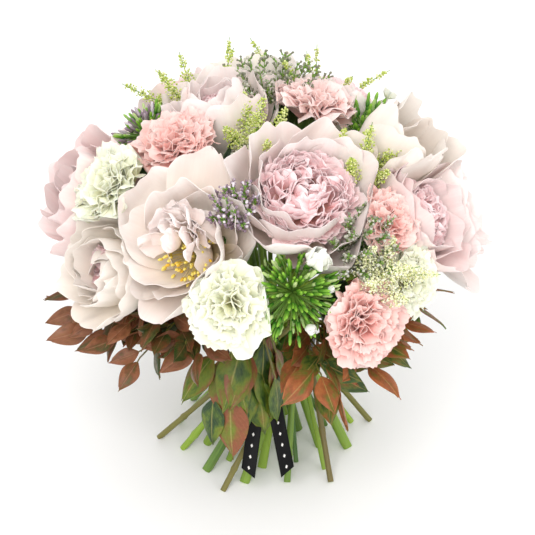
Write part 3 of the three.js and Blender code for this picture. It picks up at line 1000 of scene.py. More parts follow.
FINISHES = (
    PetalFinish("peony_guard", "f4e4c0", "fbefe9", "fcf4f1", "f8dedb"),
    PetalFinish("peony_guard_cream", "f4e0a0", "fbf1e6", "fcf5f1", "f8e2d9", 0.35),
    PetalFinish("peony_guard_pale", "e2dca4", "f3eadc", "f6efe8", "f1e0d6", 0.35, 0.25),
    PetalFinish("peony_guard_pink", "eed6c0", "f4dcd8", "f6e8e6", "f2cccb"),
    # the ruffle's peach heart: partly the petals' own warm base, partly painted warm shade deep in the
    # ruffled centre
    PetalFinish("peony_ruffle", "f8bea8", "ffdcdc", "fff2f2", "ffccd1"),
    PetalFinish("carnation_blush", "f6a89c", "fed6d0", "feeae6", "fbc0ba", 0.4, 0.25, 0.4),
    PetalFinish("carnation_pink", "f38478", "fdbfb6", "fee0da", "f89e96", 0.4, 0.25, 0.55),
    PetalFinish("carnation_cream", "d8e284", "faf9d6", "fefef0", "f0f2c0", 0.4, 0.2, 0.55),
    PetalFinish("floret_white", "dbe2b4", "f1f1e6", "f4f4ee", "e8ead6", 0.3, 0.15, 0.4),
    LeafFinish("leaf_collar", ("24401f", "4a6420", "6c7c1e", "7a6a26", "8c5034"), "a8a05a"),
    LeafFinish("leaf_russet", ("34501e", "66702a", "84622e", "9c5634", "b0683c"), "b89a5e"),
    LeafFinish("leaf_red", ("34461a", "525226", "6a4c28", "7e4a2e", "905a3c"), "a8785a"),
    LeafFinish("leaf_dark", ("16300f", "20421c", "325220", "4c5c28"), "6f8452", 0.3, 0.3),
    LeafFinish("leaf_fresh", ("2f6a1e", "4f8a2a", "6a9a38"), "a9c46a", 0.3, 0.38),
    StemFinish("stem_green", "9ab83a", "2f5c36", "6d5a34"),
    StemFinish("stem_fine", "7fa040", "5f8a3c", "7a6a3c", 0.15),
    StemFinish("stem_wood", "86883e", "6a5a32", "4d3a28", 0.5),
    GrainFinish("cut_end", "c9d59a", "dfe6bd", "a7b56c", 0.4, 0.7, 1500.0),
    GrainFinish("phlox_bud", "2f6e16", "8cbc40", "c0d490", 0.3, 0.5),
    GrainFinish("sea_lavender_floret", "6a6056", "a08a9c", "e6dce4", 0.35, 0.8),
    GrainFinish("sea_lavender_green", "5c6248", "8e8e7c", "d2d2c4", 0.35, 0.8),
    GrainFinish("astilbe_bead", "d4da92", "f2f3cc", "faf7e2", 0.5, 0.7),
    GrainFinish("astilbe_tip", "a3b848", "c8d472", "e4e8a8", 0.5, 0.7),
    GrainFinish("stamen_thread", "f0d890", "f3e08c", "f6e9b4", 0.3, 0.6),
    GrainFinish("anther", "f0d250", "faea84", "f0c040", 0.2, 0.75),
    GrainFinish("calyx", "6f9440", "a5b86a", "8aa552", 0.3, 0.5),
    GrainFinish("twine", "8f7448", "b9a070", "a58c5c", 0.5, 0.85),
    SatinFinish(),
)


# ---------------------------------------------------------------- what the pieces share

STEM_RINGS = 64


@dataclass
class Bench:
    """What the pieces share: the finishes, and the stems and heads read from the frame."""

    finishes: dict[str, Material]
    lines: dict[str, Line] = field(default_factory=dict)
    heads: dict[str, Head] = field(default_factory=dict)

    def measure(self, node: str, stem: str, claim: float = 1.0) -> None:
        """Reads a flower's stem and head, and keeps them under the head's node.

        Args:
            node: The node that holds the head.
            stem: The node that holds the stem.
            claim: How much room the head takes from its neighbours.
        """
        self.lines[node] = trace(stem)
        self.heads[node] = replace(head_on(node, self.lines[node]), claim=claim)

    def others(self, node: str) -> list[Head]:
        """Returns every head but a node's own."""
        return [head for name, head in self.heads.items() if name != node]


@dataclass
class Piece:
    """One node's piece in the making, with a mould and random numbers of its own."""

    node: str

    def __post_init__(self) -> None:
        """Starts the mould and the random numbers, which are the same on every run."""
        self.mould = Mould()
        self.rng = np.random.default_rng(zlib.crc32(self.node.encode()))

    def hand_over(self, bench: Bench, ending: str, slot: str, *finishes: str) -> bpy.types.Object:
        """Makes the piece, which rides on the bunch and stands for its node.

        Args:
            bench: What the pieces share.
            ending: What its name adds to the node's.
            slot: A material slot's name; not used.
            *finishes: Its finishes, in the order that part counts them.

        Returns:
            The piece.
        """
        piece = self.mould.build(f"{self.node}_{ending}", [bench.finishes[name] for name in finishes])
        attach(piece, "root")
        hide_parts(self.node)
        log.info("%s: %d faces", piece.name, len(piece.data.polygons))
        return piece

    def lay_stem(self, line: Line, joints: int = 0) -> None:
        """Adds a stem with its cut end, in the first two finishes.

        Args:
            line: Its centre line.
            joints: How many swollen joints it has.
        """
        along = np.linspace(0, 1, STEM_RINGS)
        radii = line.radius * (1.0 - 0.14 * along) * (1 + 0.03 * np.sin(along * 19 + self.rng.uniform(0, 6)))
        for i in range(joints):
            place = (i + self.rng.uniform(0.3, 0.7)) / joints
            radii = radii + 0.28 * line.radius * np.exp(-(((along - place) / 0.012) ** 2))
        self.mould.tube(smooth_path(line.path, STEM_RINGS), radii, 14, 0, self.rng.random(), 1, 0.03)
        self.mould.points[-1][:, 2] = np.maximum(self.mould.points[-1][:, 2], 0.0)

    def start_spray(self, depth: float) -> Head:
        """Adds the stem of a spray that is one node with it.

        Args:
            depth: How long the spray's head is.

        Returns:
            The head's place and size.
        """
        line = trace(self.node)
        self.lay_stem(line)
        return head_on(self.node, line).grown_to(depth)


# ---------------------------------------------------------------- flowers


class Bloom(Enum):
    """How far a peony has opened."""

    BOWL = "broad guard petals round a dense ruffled centre"
    OPEN = "flared petals round a loose centre with its stamens showing"
    GOBLET = "petals closed in round a ruffled centre"
    CUP = "half closed, with its green base showing"


@dataclass(frozen=True)
class Whorl:
    """One ring of a peony's guard petals, with sizes as shares of the head's radius."""

    count: int
    length: float
    width: float
    curl: float
    lift: float  # how steeply the petals leave the base, in degrees above square to the stem
    by_depth: bool = False  # the length is a share of the head's depth instead


WHORLS = {
    Bloom.BOWL: (Whorl(6, 1.38, 0.66, 0.95, 14), Whorl(6, 1.22, 0.54, 1.15, 26)),
    Bloom.OPEN: (Whorl(6, 1.36, 0.62, 0.62, 14), Whorl(6, 1.22, 0.52, 0.85, 30),
                 Whorl(5, 0.92, 0.40, 1.10, 48)),
    Bloom.GOBLET: (Whorl(5, 1.50, 0.72, 1.35, 12), Whorl(5, 1.42, 0.66, 1.45, 24),
                   Whorl(5, 1.30, 0.56, 1.45, 36)),
    Bloom.CUP: (Whorl(4, 1.38, 0.78, 1.15, 36, True), Whorl(5, 1.30, 0.66, 1.05, 46, True)),
}
OPEN_RISE = 0.2  # an open bloom's inner petals grow only where they point at least this far up
OPEN_RUFFLE_RISE = 0.15
SEPALS = 5


@dataclass
class Peony(Piece):
    """A peony's head: rings of guard petals, a ruffled centre, stamens and green sepals."""

    bloom: Bloom
    guard: str = "peony_guard"
    turn: float = 0.0
    ruffles: int = 84
    ruffle_reach: float = 0.60  # radius of the ruffled centre, as a share
    ruffle_rise: float = 0.98  # its height, as a share of the depth
    ruffle_size: float = 0.64  # length of its petals, as a share of its own radius
    ruffle: str = "peony_ruffle"
    stamens: int = 0
    seat: float = 0.08  # height of the petals' base, as a share of the depth
    claim: float = 1.0  # how much room it takes from its neighbours
    size: float = 1.0  # how large its guard petals are
    joints = 0

    def lay_guards(self, head: Head) -> None:
        """Adds the rings of guard petals, from outside in.

        Args:
            head: The head's place and size.
        """
        rng = self.rng
        radius, depth = self.size * head.radius, self.size * head.depth
        for ring, whorl in enumerate(WHORLS[self.bloom]):
            length = whorl.length * (depth if whorl.by_depth else radius)
            cut = replace(GUARD, length=length, width=whorl.width * radius, curl=whorl.curl)
            for i in range(whorl.count):
                turn = self.turn + FULL_TURN * (i + 0.5 * ring) / whorl.count + rng.normal(0, 0.06)
                out = spoke(head.way, turn)
                if self.bloom is Bloom.OPEN and ring == 2 and out[2] < OPEN_RISE:
                    continue
                growth = lean_from(out, head.way, math.radians(whorl.lift + rng.normal(0, 3)))
                tuck = 0.16 * np.cross(growth, head.way)
                base = head.at(self.seat) + 0.05 * head.radius * out
                self.mould.petal(cut, base, growth, head.way + tuck, rng, 0, 1 + rng.normal(0, 0.04))

    def lay_ruffles(self, head: Head) -> None:
        """Adds the crumpled petals of the centre, packed over a dome.

        Args:
            head: The head's place and size.
        """
        rng = self.rng
        reach = self.ruffle_reach * head.radius
        rise = 0.62 * reach
        heart = head.base + (self.ruffle_rise * head.depth - rise) * head.way
        cut = RUFFLE.sized(self.ruffle_size * reach)
        for i in range(self.ruffles):
            share = (i + 0.5) / self.ruffles
            lean = math.acos(1 - 1.02 * share)
            out = spoke(head.way, i * GOLDEN_ANGLE + rng.normal(0, 0.15))
            if self.bloom is Bloom.OPEN and out[2] < OPEN_RUFFLE_RISE:
                continue
            normal = lean_from(head.way, out, lean)
            surface = heart + rise * math.cos(lean) * head.way + reach * math.sin(lean) * out
            size = (0.85 + 0.35 * share) * (1 + rng.normal(0, 0.1))
            base = surface - 0.62 * size * cut.length * normal
            inward = head.way - 0.4 * out + 0.5 * rng.normal(size=3)
            tilted = unit(normal + 0.18 * rng.normal(size=3))
            self.mould.petal(cut, base, tilted, inward, rng, 1, size)

    def lay_stamens(self, head: Head) -> None:
        """Adds a crown of yellow stamens.

        Args:
            head: The head's place and size.
        """
        rng, count = self.rng, self.stamens
        turns = rng.uniform(0, FULL_TURN, count)
        leans = rng.uniform(0.0, 0.7, count)
        outs = np.array([spoke(head.way, turn) for turn in turns])
        ways = unit(np.cos(leans)[:, None] * head.way + np.sin(leans)[:, None] * outs - 0.35 * UP)
        lengths = head.depth * rng.uniform(0.3, 0.42, count)
        foot = head.at(0.3) + 0.1 * head.radius * outs
        seeds = rng.random(count)
        self.mould.spindles(foot, ways, lengths, 0.35 * MM, THREAD, 5, 2, seeds)
        self.mould.spindles(foot + ways * lengths[:, None], ways, 5 * MM, 1.3 * MM, ANTHER, 6, 3, seeds)

    def lay_sepals(self, head: Head) -> None:
        """Adds the green base and its sepals.

        Args:
            head: The head's place and size.
        """
        foot = head.base[None] - 1 * MM * head.way
        tall, wide = 0.2 * head.depth, 0.16 * head.radius
        self.mould.spindles(foot, head.way[None], tall, wide, RECEPTACLE, 14, 4, [0.4])
        cut = SEPAL.sized(0.5 * head.radius)
        for i in range(SEPALS):
            out = spoke(head.way, self.turn + i * FULL_TURN / SEPALS + 0.3)
            base = head.base + 3 * MM * head.way + 0.08 * head.radius * out
            self.mould.petal(cut, base, out + 0.25 * head.way, head.way, self.rng, 5)

    def build(self, bench: Bench) -> None:
        """Makes the head.

        Args:
            bench: What the pieces share.
        """
        head = bench.heads[self.node]
        self.lay_sepals(head)
        self.lay_guards(head)
        self.lay_ruffles(head)
        if self.stamens:
            self.lay_stamens(head)
        self.mould.press(head, bench.others(self.node))
        finishes = (self.guard, self.ruffle, "stamen_thread", "anther", "calyx", "leaf_fresh")
        self.hand_over(bench, "petals", "peony_petals", *finishes)


CALYX_RADIUS = 6.5 * MM
NECK_RADIUS = 2.6 * MM  # of the stretch of stem under a carnation that stands proud


@dataclass
class Carnation(Piece):
    """A carnation's head: a tubular calyx and a full dome of toothed, folded petals."""

    finish: str
    slot: str
    proud: float = 0.0  # how far it stands out from its place
    size: float = 1.0
    claim: float = 1.0  # how much room it takes from its neighbours
    petals: int = 46
    calyx_share: float = 0.38  # of the head's depth
    joints = 5

    def build(self, bench: Bench) -> None:
        """Makes the head.

        Args:
            bench: What the pieces share.
        """
        rng, head = self.rng, bench.heads[self.node]
        tall = self.calyx_share * head.depth
        foot = head.base + self.proud * head.way
        self.mould.spindles(foot[None], head.way[None], tall, CALYX_RADIUS, CALYX, 14, 1, [0.3])
        if self.proud:
            ends = np.stack([head.base - 2 * MM * head.way, foot + 1 * MM * head.way])
            self.mould.tube(ends, np.full(2, NECK_RADIUS), 12, 1, 0.3)
        cut = FRILL.sized(head.radius * 0.98 * self.size)
        throat = foot + 0.82 * tall * head.way
        for i in range(self.petals):
            share = (i + 0.5) / self.petals
            lean = 1.5 * share**0.62
            out = spoke(head.way, i * GOLDEN_ANGLE + rng.normal(0, 0.2))
            start = 0.35 * lean
            growth = lean_from(head.way, out, start)
            base = throat + 2.5 * MM * share * out + rng.normal(0, 0.4 * MM, 3)
            size = (0.80 + 0.26 * share) * (1 + rng.normal(0, 0.05))
            bending = replace(cut, curl=max(1.15 * lean - start, 0.15))
            self.mould.petal(bending, base, growth, out + 0.25 * rng.normal(size=3), rng, 0, size)
        self.mould.press(head, bench.others(self.node))
        self.hand_over(bench, "petals", self.slot, self.finish, "calyx")


@dataclass
class Stem(Piece):
    """A flower's stem, with its cut end, its joints and the leaves that fill the gaps beside its head."""

    line: Line
    joints: int
    gaps: Sequence[Array]  # the places that its leaves reach for

    def build(self, bench: Bench) -> None:
        """Makes the stem.

        Args:
            bench: What the pieces share.
        """
        self.lay_stem(self.line, self.joints)
        path = smooth_path(self.line.path, 40)
        for i, gap in enumerate(self.gaps):
            at = path[36 - i % 5]
            cut = STEM_LEAF.sized(float(np.linalg.norm(gap - at)) * self.rng.uniform(0.95, 1.1))
            bend = self.line.way + 0.3 * self.rng.normal(size=3)
            self.mould.petal(cut, at, gap - at, bend, self.rng, 2)
        self.hand_over(bench, "grown", "green_stem", "stem_green", "cut_end", "leaf_dark")


# ---------------------------------------------------------------- sprays


@dataclass
class PhloxSpray(Piece):
    """Phlox: pointed green buds on short stalks, a few open white florets and narrow leaves."""

    buds: int
    florets: int
    second: str = "phlox_bud"  # the finish of every other bud
    broad_leaves: int = 7
    furled: tuple[tuple[float, float, float], ...] = ()  # white buds: their way across and up, and their size
    narrow_leaves: int = 14

    def lay_buds(self, head: Head, fork: Array) -> tuple[Array, Array]:
        """Adds the green buds on their stalks.

        Args:
            head: The head's place and size.
            fork: Where the stalks meet.

        Returns:
            Where each bud ends, nearly, and the way that it points.
        """
        rng, outs, ways = self.rng, [], []
        for i in range(self.buds):
            lean = math.acos(1 - 0.92 * (i + 0.5) / self.buds)
            out = spoke(head.way, i * GOLDEN_ANGLE)
            ways.append(unit(lean_from(head.way, out, lean) + 0.24 * rng.normal(size=3)))
            outs.append(head.depth * rng.uniform(0.38, 0.66))
        ways, reach = np.array(ways), np.array(outs)[:, None]
        heights = ways @ head.way
        stretch = ways + (head.radius / head.depth * 0.55) * (ways - heights[:, None] * head.way)
        roots = fork + reach * stretch
        seeds = rng.random(self.buds)
        for root, seed in zip(roots, seeds):
            middle = fork + 0.45 * (root - fork) + 2 * MM * head.way
            self.mould.twig([fork, middle, root], 7, 0.55 * MM, 0.55 * MM, 3, seed)
        lengths = rng.uniform(0.22, 0.34, self.buds) * head.depth
        for half, part in ((slice(0, None, 2), 2), (slice(1, None, 2), 7)):
            chosen = (roots[half], stretch[half], lengths[half])
            self.mould.spindles(*chosen, 0.043 * head.depth, BUD, 7, part, seeds[half])
        return roots + lengths[:, None] * 0.9 * ways, ways

    def lay_florets(self, head: Head, tips: Array, ways: Array) -> None:
        """Adds the open white florets and the furled white buds.

        Args:
            head: The head's place and size.
            tips: Where each green bud ends, nearly.
            ways: The way that each green bud points.
        """
        rng = self.rng
        for i in range(self.florets):
            pick = int(rng.integers(0, self.buds * 0.8))
            for k in range(5):
                out = spoke(ways[pick], k * FULL_TURN / 5 + i)
                self.mould.petal(FLORET, tips[pick], out + 0.5 * ways[pick], ways[pick], rng, 4)
        for across, up, size in self.furled:
            away = square_to(head.way, np.array([across, 0.0, up]))
            centre = head.at(0.62) + 0.85 * head.radius * away
            way = unit(head.way + 0.8 * away)
            for k in range(6):
                growth = lean_from(spoke(way, k * GOLDEN_ANGLE), way, 0.5 + 0.1 * k)
                self.mould.petal(FURLED, centre, growth, way, rng, 4, size)

    def build(self, bench: Bench) -> None:
        """Makes the spray with its stem.

        Args:
            bench: What the pieces share.
        """
        rng, head, others = self.rng, bench.heads[self.node], bench.others(self.node)
        fork = head.at(0.22)
        tips, ways = self.lay_buds(head, fork)
        self.lay_florets(head, tips, ways)
        for i in range(self.narrow_leaves):
            growth = spoke(head.way, i * GOLDEN_ANGLE) + 0.7 * head.way
            self.mould.petal(NARROW_LEAF, fork - 6 * MM * head.way, growth, head.way, rng, 5, heads=others)
        for i in range(self.broad_leaves):
            growth = spoke(head.way, i * GOLDEN_ANGLE + 0.5) + 0.6 * head.way
            start = fork - rng.uniform(2, 14) * MM * head.way
            self.mould.petal(BROAD_LEAF, start, growth, head.way, rng, 6, heads=others)
        self.mould.press(head, others)
        self.lay_stem(bench.lines[self.node], 2)
        finishes = ("stem_green", "cut_end", "phlox_bud", "stem_fine", "floret_white", "leaf_fresh",
                    "leaf_dark", self.second)
        self.hand_over(bench, "spray", "phlox_buds", *finishes)


@dataclass
class SeaLavender(Piece):
    """Sea lavender: a fan of forked green twigs with tiny papery florets along their ends."""

    twigs: int = 15
    spread: float = 1.2
    finish: str = "sea_lavender_green"
    florets: int = 26  # on each twig
    depth: float = 62 * MM

    def build(self, bench: Bench) -> None:
        """Makes the spray with its stem.

        Args:
            bench: What the pieces share.
        """
        rng, head = self.rng, self.start_spray(self.depth)
        starts, ways = [], []
        for i in range(self.twigs):
            share = (i + 0.5) / self.twigs
            out = spoke(head.way, i * GOLDEN_ANGLE)
            start = head.at(0.35 * share)
            end = head.at(1.0 - 0.3 * share) + self.spread * head.radius * share**0.5 * out
            middle = 0.5 * (start + end) + 0.15 * head.radius * out
            path = self.mould.twig([start, middle, end], 12, 0.75 * MM, 0.35 * MM, 3, rng.random())
            for k in range(self.florets):
                side = spoke(unit(path[-1] - path[0]), rng.uniform(0, FULL_TURN))
                way = unit(unit(end - start) + 0.9 * side)
                starts.append(path[int(4 + 7.9 * (k / self.florets))] + rng.uniform(0.6, 3.4) * MM * way)
                ways.append(way)
        starts, ways = np.array(starts), np.array(ways)
        count = len(starts)
        lengths, radii = rng.uniform(3.0, 4.6, count) * MM, rng.uniform(0.9, 1.5, count) * MM
        self.mould.spindles(starts, ways, lengths, radii, TRUMPET, 6, 2, rng.random(count))
        self.mould.spindles(starts - 1.6 * MM * ways, ways, 3.0 * MM, 0.9 * MM, HUSK, 5, 3, rng.random(count))
        self.hand_over(bench, "spray", "sea_lavender", "stem_green", "cut_end", self.finish, "stem_fine")


@dataclass
class Astilbe(Piece):
    """Astilbe: tapering plumes beaded with tiny buds, the side ones fanning out round the tallest."""

    side_plumes: int = 4
    splay: float = 34.0
    side_length: float = 0.68  # as a share of the middle one
    tips: str = "astilbe_tip"
    proud: float = 0.0  # how far it stands out from its place
    twig_rows: int = 19
    depth: float = 84 * MM

    def lay_plume(self, base: Array, way: Array, length: float, wide: float) -> None:
        """Adds one plume.

        Args:
            base: Where it starts.
            way: The direction that it grows in.
            length: How long it is.
            wide: The length of its lowest twigs.
        """
        rng = self.rng
        tip = base + length * way + 0.10 * length * square_to(way, rng.normal(size=3))
        line = [base, base + 0.5 * length * way, tip]
        axis = self.mould.twig(line, 30, 0.9 * MM, 0.3 * MM, 3, rng.random())
        beads, ways, seeds = [], [], []
        for row in range(self.twig_rows):
            share = row / self.twig_rows
            at = axis[int(6 + 23 * share)]
            reach = wide * (1 - share) ** 0.9 + 1.2 * MM
            steps = max(2, int(reach / (1.5 * MM)))
            for k in range(4):
                out = spoke(way, row * GOLDEN_ANGLE + k * math.pi / 2 + rng.normal(0, 0.2))
                for step in range(steps):
                    place = at + (step + 0.6) / steps * reach * unit(out + 0.75 * way)
                    beads.append(place + rng.normal(0, 0.35 * MM, 3))
                    ways.append(rng.normal(size=3) + way)
                    seeds.append(rng.random())
        beads, ways, seeds = np.array(beads), np.array(ways), np.array(seeds)
        high = (beads - base) @ way / length > 0.5
        for part, chosen in ((2, ~high), (4, high)):
            size = rng.uniform(1.3, 2.1, int(chosen.sum())) * MM
            self.mould.spindles(beads[chosen], ways[chosen], size, size * 0.5, BEAD, 5, part, seeds[chosen])

    def build(self, bench: Bench) -> None:
        """Makes the spray with its stem.

        Args:
            bench: What the pieces share.
        """
        rng, head = self.rng, self.start_spray(self.depth)
        wide = 0.5 * head.radius
        foot = head.base + self.proud * head.way
        self.lay_plume(foot, head.way, head.depth, wide)
        fork = foot + 0.2 * head.depth * head.way
        for i in range(self.side_plumes):
            out = spoke(head.way, FULL_TURN * i / self.side_plumes + 0.4)
            way = lean_from(head.way, out, math.radians(self.splay + rng.normal(0, 4)))
            self.lay_plume(fork, way, self.side_length * head.depth * rng.uniform(0.85, 1.1), 0.8 * wide)
        finishes = ("stem_green", "cut_end", "astilbe_bead", "stem_fine", self.tips)
        self.hand_over(bench, "spray", "astilbe_plume", *finishes)


FORK_HEIGHT = 135 * MM  # where the leaf branches fork
LOWEST_LEAF = 50 * MM  # nothing of a branch but its stem is lower than this
LEAF_CLEARANCE = 0.8  # how near a head's middle their leaves come, as a share of its radius


@dataclass
class LeafBranch(Piece):
    """A branch of the collar: a stem that forks into leafy twigs with pointed leaves on fine stalks."""

    twigs: int
    leaves: int  # on each twig
    leaf_length: float
    droop: float
    reach: float  # how far the twigs go, as a share of the node's own reach
    fan: float = 45.0  # how far the outer twigs turn aside, in degrees
    finish: str = "leaf_collar"
    swing: float = 0.0  # how far the whole branch turns aside, in degrees

    def build(self, bench: Bench) -> None:
        """Makes the branch.

        Args:
            bench: What the pieces share.
        """
        rng, line, points = self.rng, trace(self.node), mesh_points(self.node)
        fork = int(np.argmin(np.abs(line.path[:, 2] - FORK_HEIGHT)))
        shoulder = line.path[fork]
        self.lay_stem(replace(line, path=line.path[: fork + 2]), 3)
        aside = points[points[:, 2] > LOWEST_LEAF, :2] - shoulder[:2]
        away = np.linalg.norm(aside, axis=1)
        far = aside[away > np.quantile(away, 0.85)].mean(0)
        reach = self.reach * float(np.linalg.norm(far))
        outward = unit(np.append(far, 0.0))
        side = np.cross(outward, UP)
        for i in range(self.twigs):
            turn = math.radians(self.fan * (2 * (i + 0.5) / self.twigs - 1) + self.swing)
            way = unit(lean_from(outward, side, turn) + rng.normal(0.2, 0.12) * UP)
            start = shoulder + rng.uniform(0, 12) * MM * UP
            room = CAD_BOX[1][0] - 0.8 * self.leaf_length - np.linalg.norm(start[:2])
            length = min(reach * rng.uniform(0.7, 1.0), room / np.linalg.norm(way[:2]))
            middle = start + 0.5 * length * way + 0.06 * length * UP
            end = start + length * way - self.droop * length * UP
            self.lay_twig(smooth_path([start, middle, end], 24), list(bench.heads.values()))
        self.hand_over(bench, "leaves", "collar_leaves", "stem_wood", "cut_end", self.finish, "stem_wood")

    def lay_twig(self, path: Array, heads: Sequence[Head]) -> None:
        """Adds one twig with its leaves.

        Args:
            path: The twig's centre line.
            heads: The heads that its leaves keep out of.
        """
        rng = self.rng
        self.mould.tube(path, np.linspace(1.4, 0.6, len(path)) * MM, 7, 3, rng.random())
        cut = COLLAR_LEAF.sized(self.leaf_length)
        outward = unit((path[-1] - path[0]) * np.array([1.0, 1.0, 0.0]))
        for i in range(self.leaves):
            share = 0.3 + 0.7 * (i + 1) / self.leaves
            place = min(int(share * (len(path) - 1)), len(path) - 2)
            along = unit(path[place + 1] - path[place])
            hand = (-1 if i % 2 else 1) * (0.0 if i == self.leaves - 1 else rng.uniform(0.5, 1.1))
            way = unit(along + hand * np.cross(along, UP) + rng.uniform(-0.9, 0.25) * UP * (self.droop + 0.4))
            stalk = rng.uniform(5, 10) * MM
            root = path[place] + stalk * way
            bend = -0.7 * outward - UP * (0.3 + self.droop) + 0.3 * rng.normal(size=3)
            grid = cut.grid(root - 0.8 * MM * way, way, bend, rng, rng.uniform(0.72, 1.12))
            seeds = rng.random(2)
            if clear_of(grid, heads, LEAF_CLEARANCE):
                middle = path[place] + 0.5 * stalk * way + 1 * MM * UP
                self.mould.twig([path[place], middle, root], 6, 0.6 * MM, 0.6 * MM, 3, seeds[0])
                self.mould.shell(grid, cut.thickness, 2, seeds[1])


# ---------------------------------------------------------------- binding


@dataclass
class Twine(Piece):
    """Turns of twisted twine round the waist."""

    node: str = "binding_twine"
    turns: int = 3
    strands: int = 3

    def build(self, bench: Bench) -> Array:
        """Makes the turns.

        Args:
            bench: What the pieces share.

        Returns:
            The middle of the binding.
        """
        low, high = (np.array(corner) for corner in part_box(self.node))
        centre, size = (low + high) / 2, high - low
        thickness = size[2] / self.turns
        radius = (size[0] - thickness) / 2
        count = 360 * self.turns
        turn = np.linspace(0, FULL_TURN * self.turns, count)
        rise = np.linspace(-size[2] / 2 + thickness / 2, size[2] / 2 - thickness / 2, count)
        for strand in range(self.strands):
            twist = turn * 26 + strand * FULL_TURN / self.strands
            out = radius + 0.27 * thickness * np.cos(twist)
            up = rise + 0.27 * thickness * np.sin(twist)
            path = centre + np.stack([out * np.cos(turn), out * np.sin(turn), up], axis=-1)
            self.mould.tube(path, np.full(count, 0.25 * thickness), 5, 0, 0.3 + 0.2 * strand)
        self.hand_over(bench, "wound", "twine", "twine")
        return centre


@dataclass
class Ribbon(Piece):
    """The satin ribbon: a band over the twine, a knot at the front and two tails with slanting ends."""

    node: str = "ribbon"
    width: float = 12 * MM
    thickness: float = 0.5 * MM
    tail_length: float = 88 * MM
    slant: float = 7 * MM
    knot_length: float = 62 * MM

    def build(self, bench: Bench, waist: Array) -> None:
        """Makes the ribbon.

        Args:
            bench: What the pieces share.
            waist: The middle of the binding.
        """
        low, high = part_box(self.node)
        radius = (high[0] - low[0]) / 2 - 0.4 * MM
        turn = np.linspace(-0.5 * math.pi + 0.03, 1.5 * math.pi - 0.03, 120)
        across = np.linspace(-1, 1, 7)[:, None]
        out = radius + 0.4 * MM * np.sin(turn * 9) + 0.25 * MM * (1 - across**2)
        up = self.width / 2 * across + 0.6 * MM * np.sin(turn * 3)
        self.lay_cloth(waist, out * np.cos(turn), out * np.sin(turn), up, 0.2)
        front = waist + np.array([0.0, -radius - 1.5 * MM, 0.0])
        self.lay_knot(front)
        points = mesh_points(self.node)
        hanging = points[points[:, 2] < waist[2] - self.width]
        for hand in (-1, 1):
            self.lay_tail(front, hanging[hand * (hanging[:, 0] - waist[0]) > 0], hand)
        piece = self.hand_over(bench, "tied", "ribbon_satin", "ribbon_satin")

    def lay_cloth(self, origin: Array, x: Array, y: Array, z: Array, seed: float) -> None:
        """Adds a stretch of ribbon from the places of its middle surface.

        Args:
            origin: Where the places are counted from.
            x: The places to the right, across by along.
            y: The places to the back.
            z: The places up.
            seed: A number from 0 to 1; above one half, the stretch is patterned.
        """
        grid = origin + np.stack(np.broadcast_arrays(x, y, z), axis=-1)
        self.mould.shell(grid, self.thickness, 0, seed)

    def lay_knot(self, front: Array) -> None:
        """Adds the knot, a short length wrapped round itself.

        Args:
            front: Where the knot is.
        """
        turn = np.linspace(0.4, FULL_TURN + 0.9, 46)
        across = np.linspace(-1, 1, 9)[:, None]
        crease = 0.5 * MM * np.sin(across * 9)
        x = across * self.width * 0.46 * (1 - 0.16 * np.cos(turn) ** 2)
        y = (crease - (3.6 + 0.10 * turn) * MM) * np.cos(turn) - 2.2 * MM
        z = ((6.6 + 0.10 * turn) * MM + crease) * np.sin(turn)
        self.lay_cloth(front, x, y, z, 0.3)

    def lay_tail(self, front: Array, tail: Array, hand: int) -> None:
        """Adds one tail.

        Args:
            front: Where the knot is.
            tail: The corners of the tail in the frame, which give the way that it hangs.
            hand: -1 for the left one and 1 for the right one.
        """
        end = tail[tail[:, 2] < tail[:, 2].min() + 12 * MM].mean(0)
        start = front + np.array([hand * 2.5 * MM, -2.5 * MM, -4 * MM])
        way = unit(end - start)
        aside = square_to(way, np.array([1.0, 0.0, 0.0]))
        face = np.cross(aside, way)
        u, v = np.meshgrid(np.linspace(-1, 1, 9), np.linspace(0, 1, 40), indexing="ij")
        trim = self.slant * (0.5 + 0.5 * hand * u)
        far = v * (self.tail_length - trim * v)
        curve = 2.5 * MM * np.sin(3.1 * v + 0.6 * hand) * v + 0.7 * MM * np.sin(2.2 * u + 6 * v)
        grid = (start + far[..., None] * way + (u * self.width / 2)[..., None] * aside
                - curve[..., None] * face)
        self.mould.shell(grid, self.thickness, 0, 0.9)


# ---------------------------------------------------------------- studio


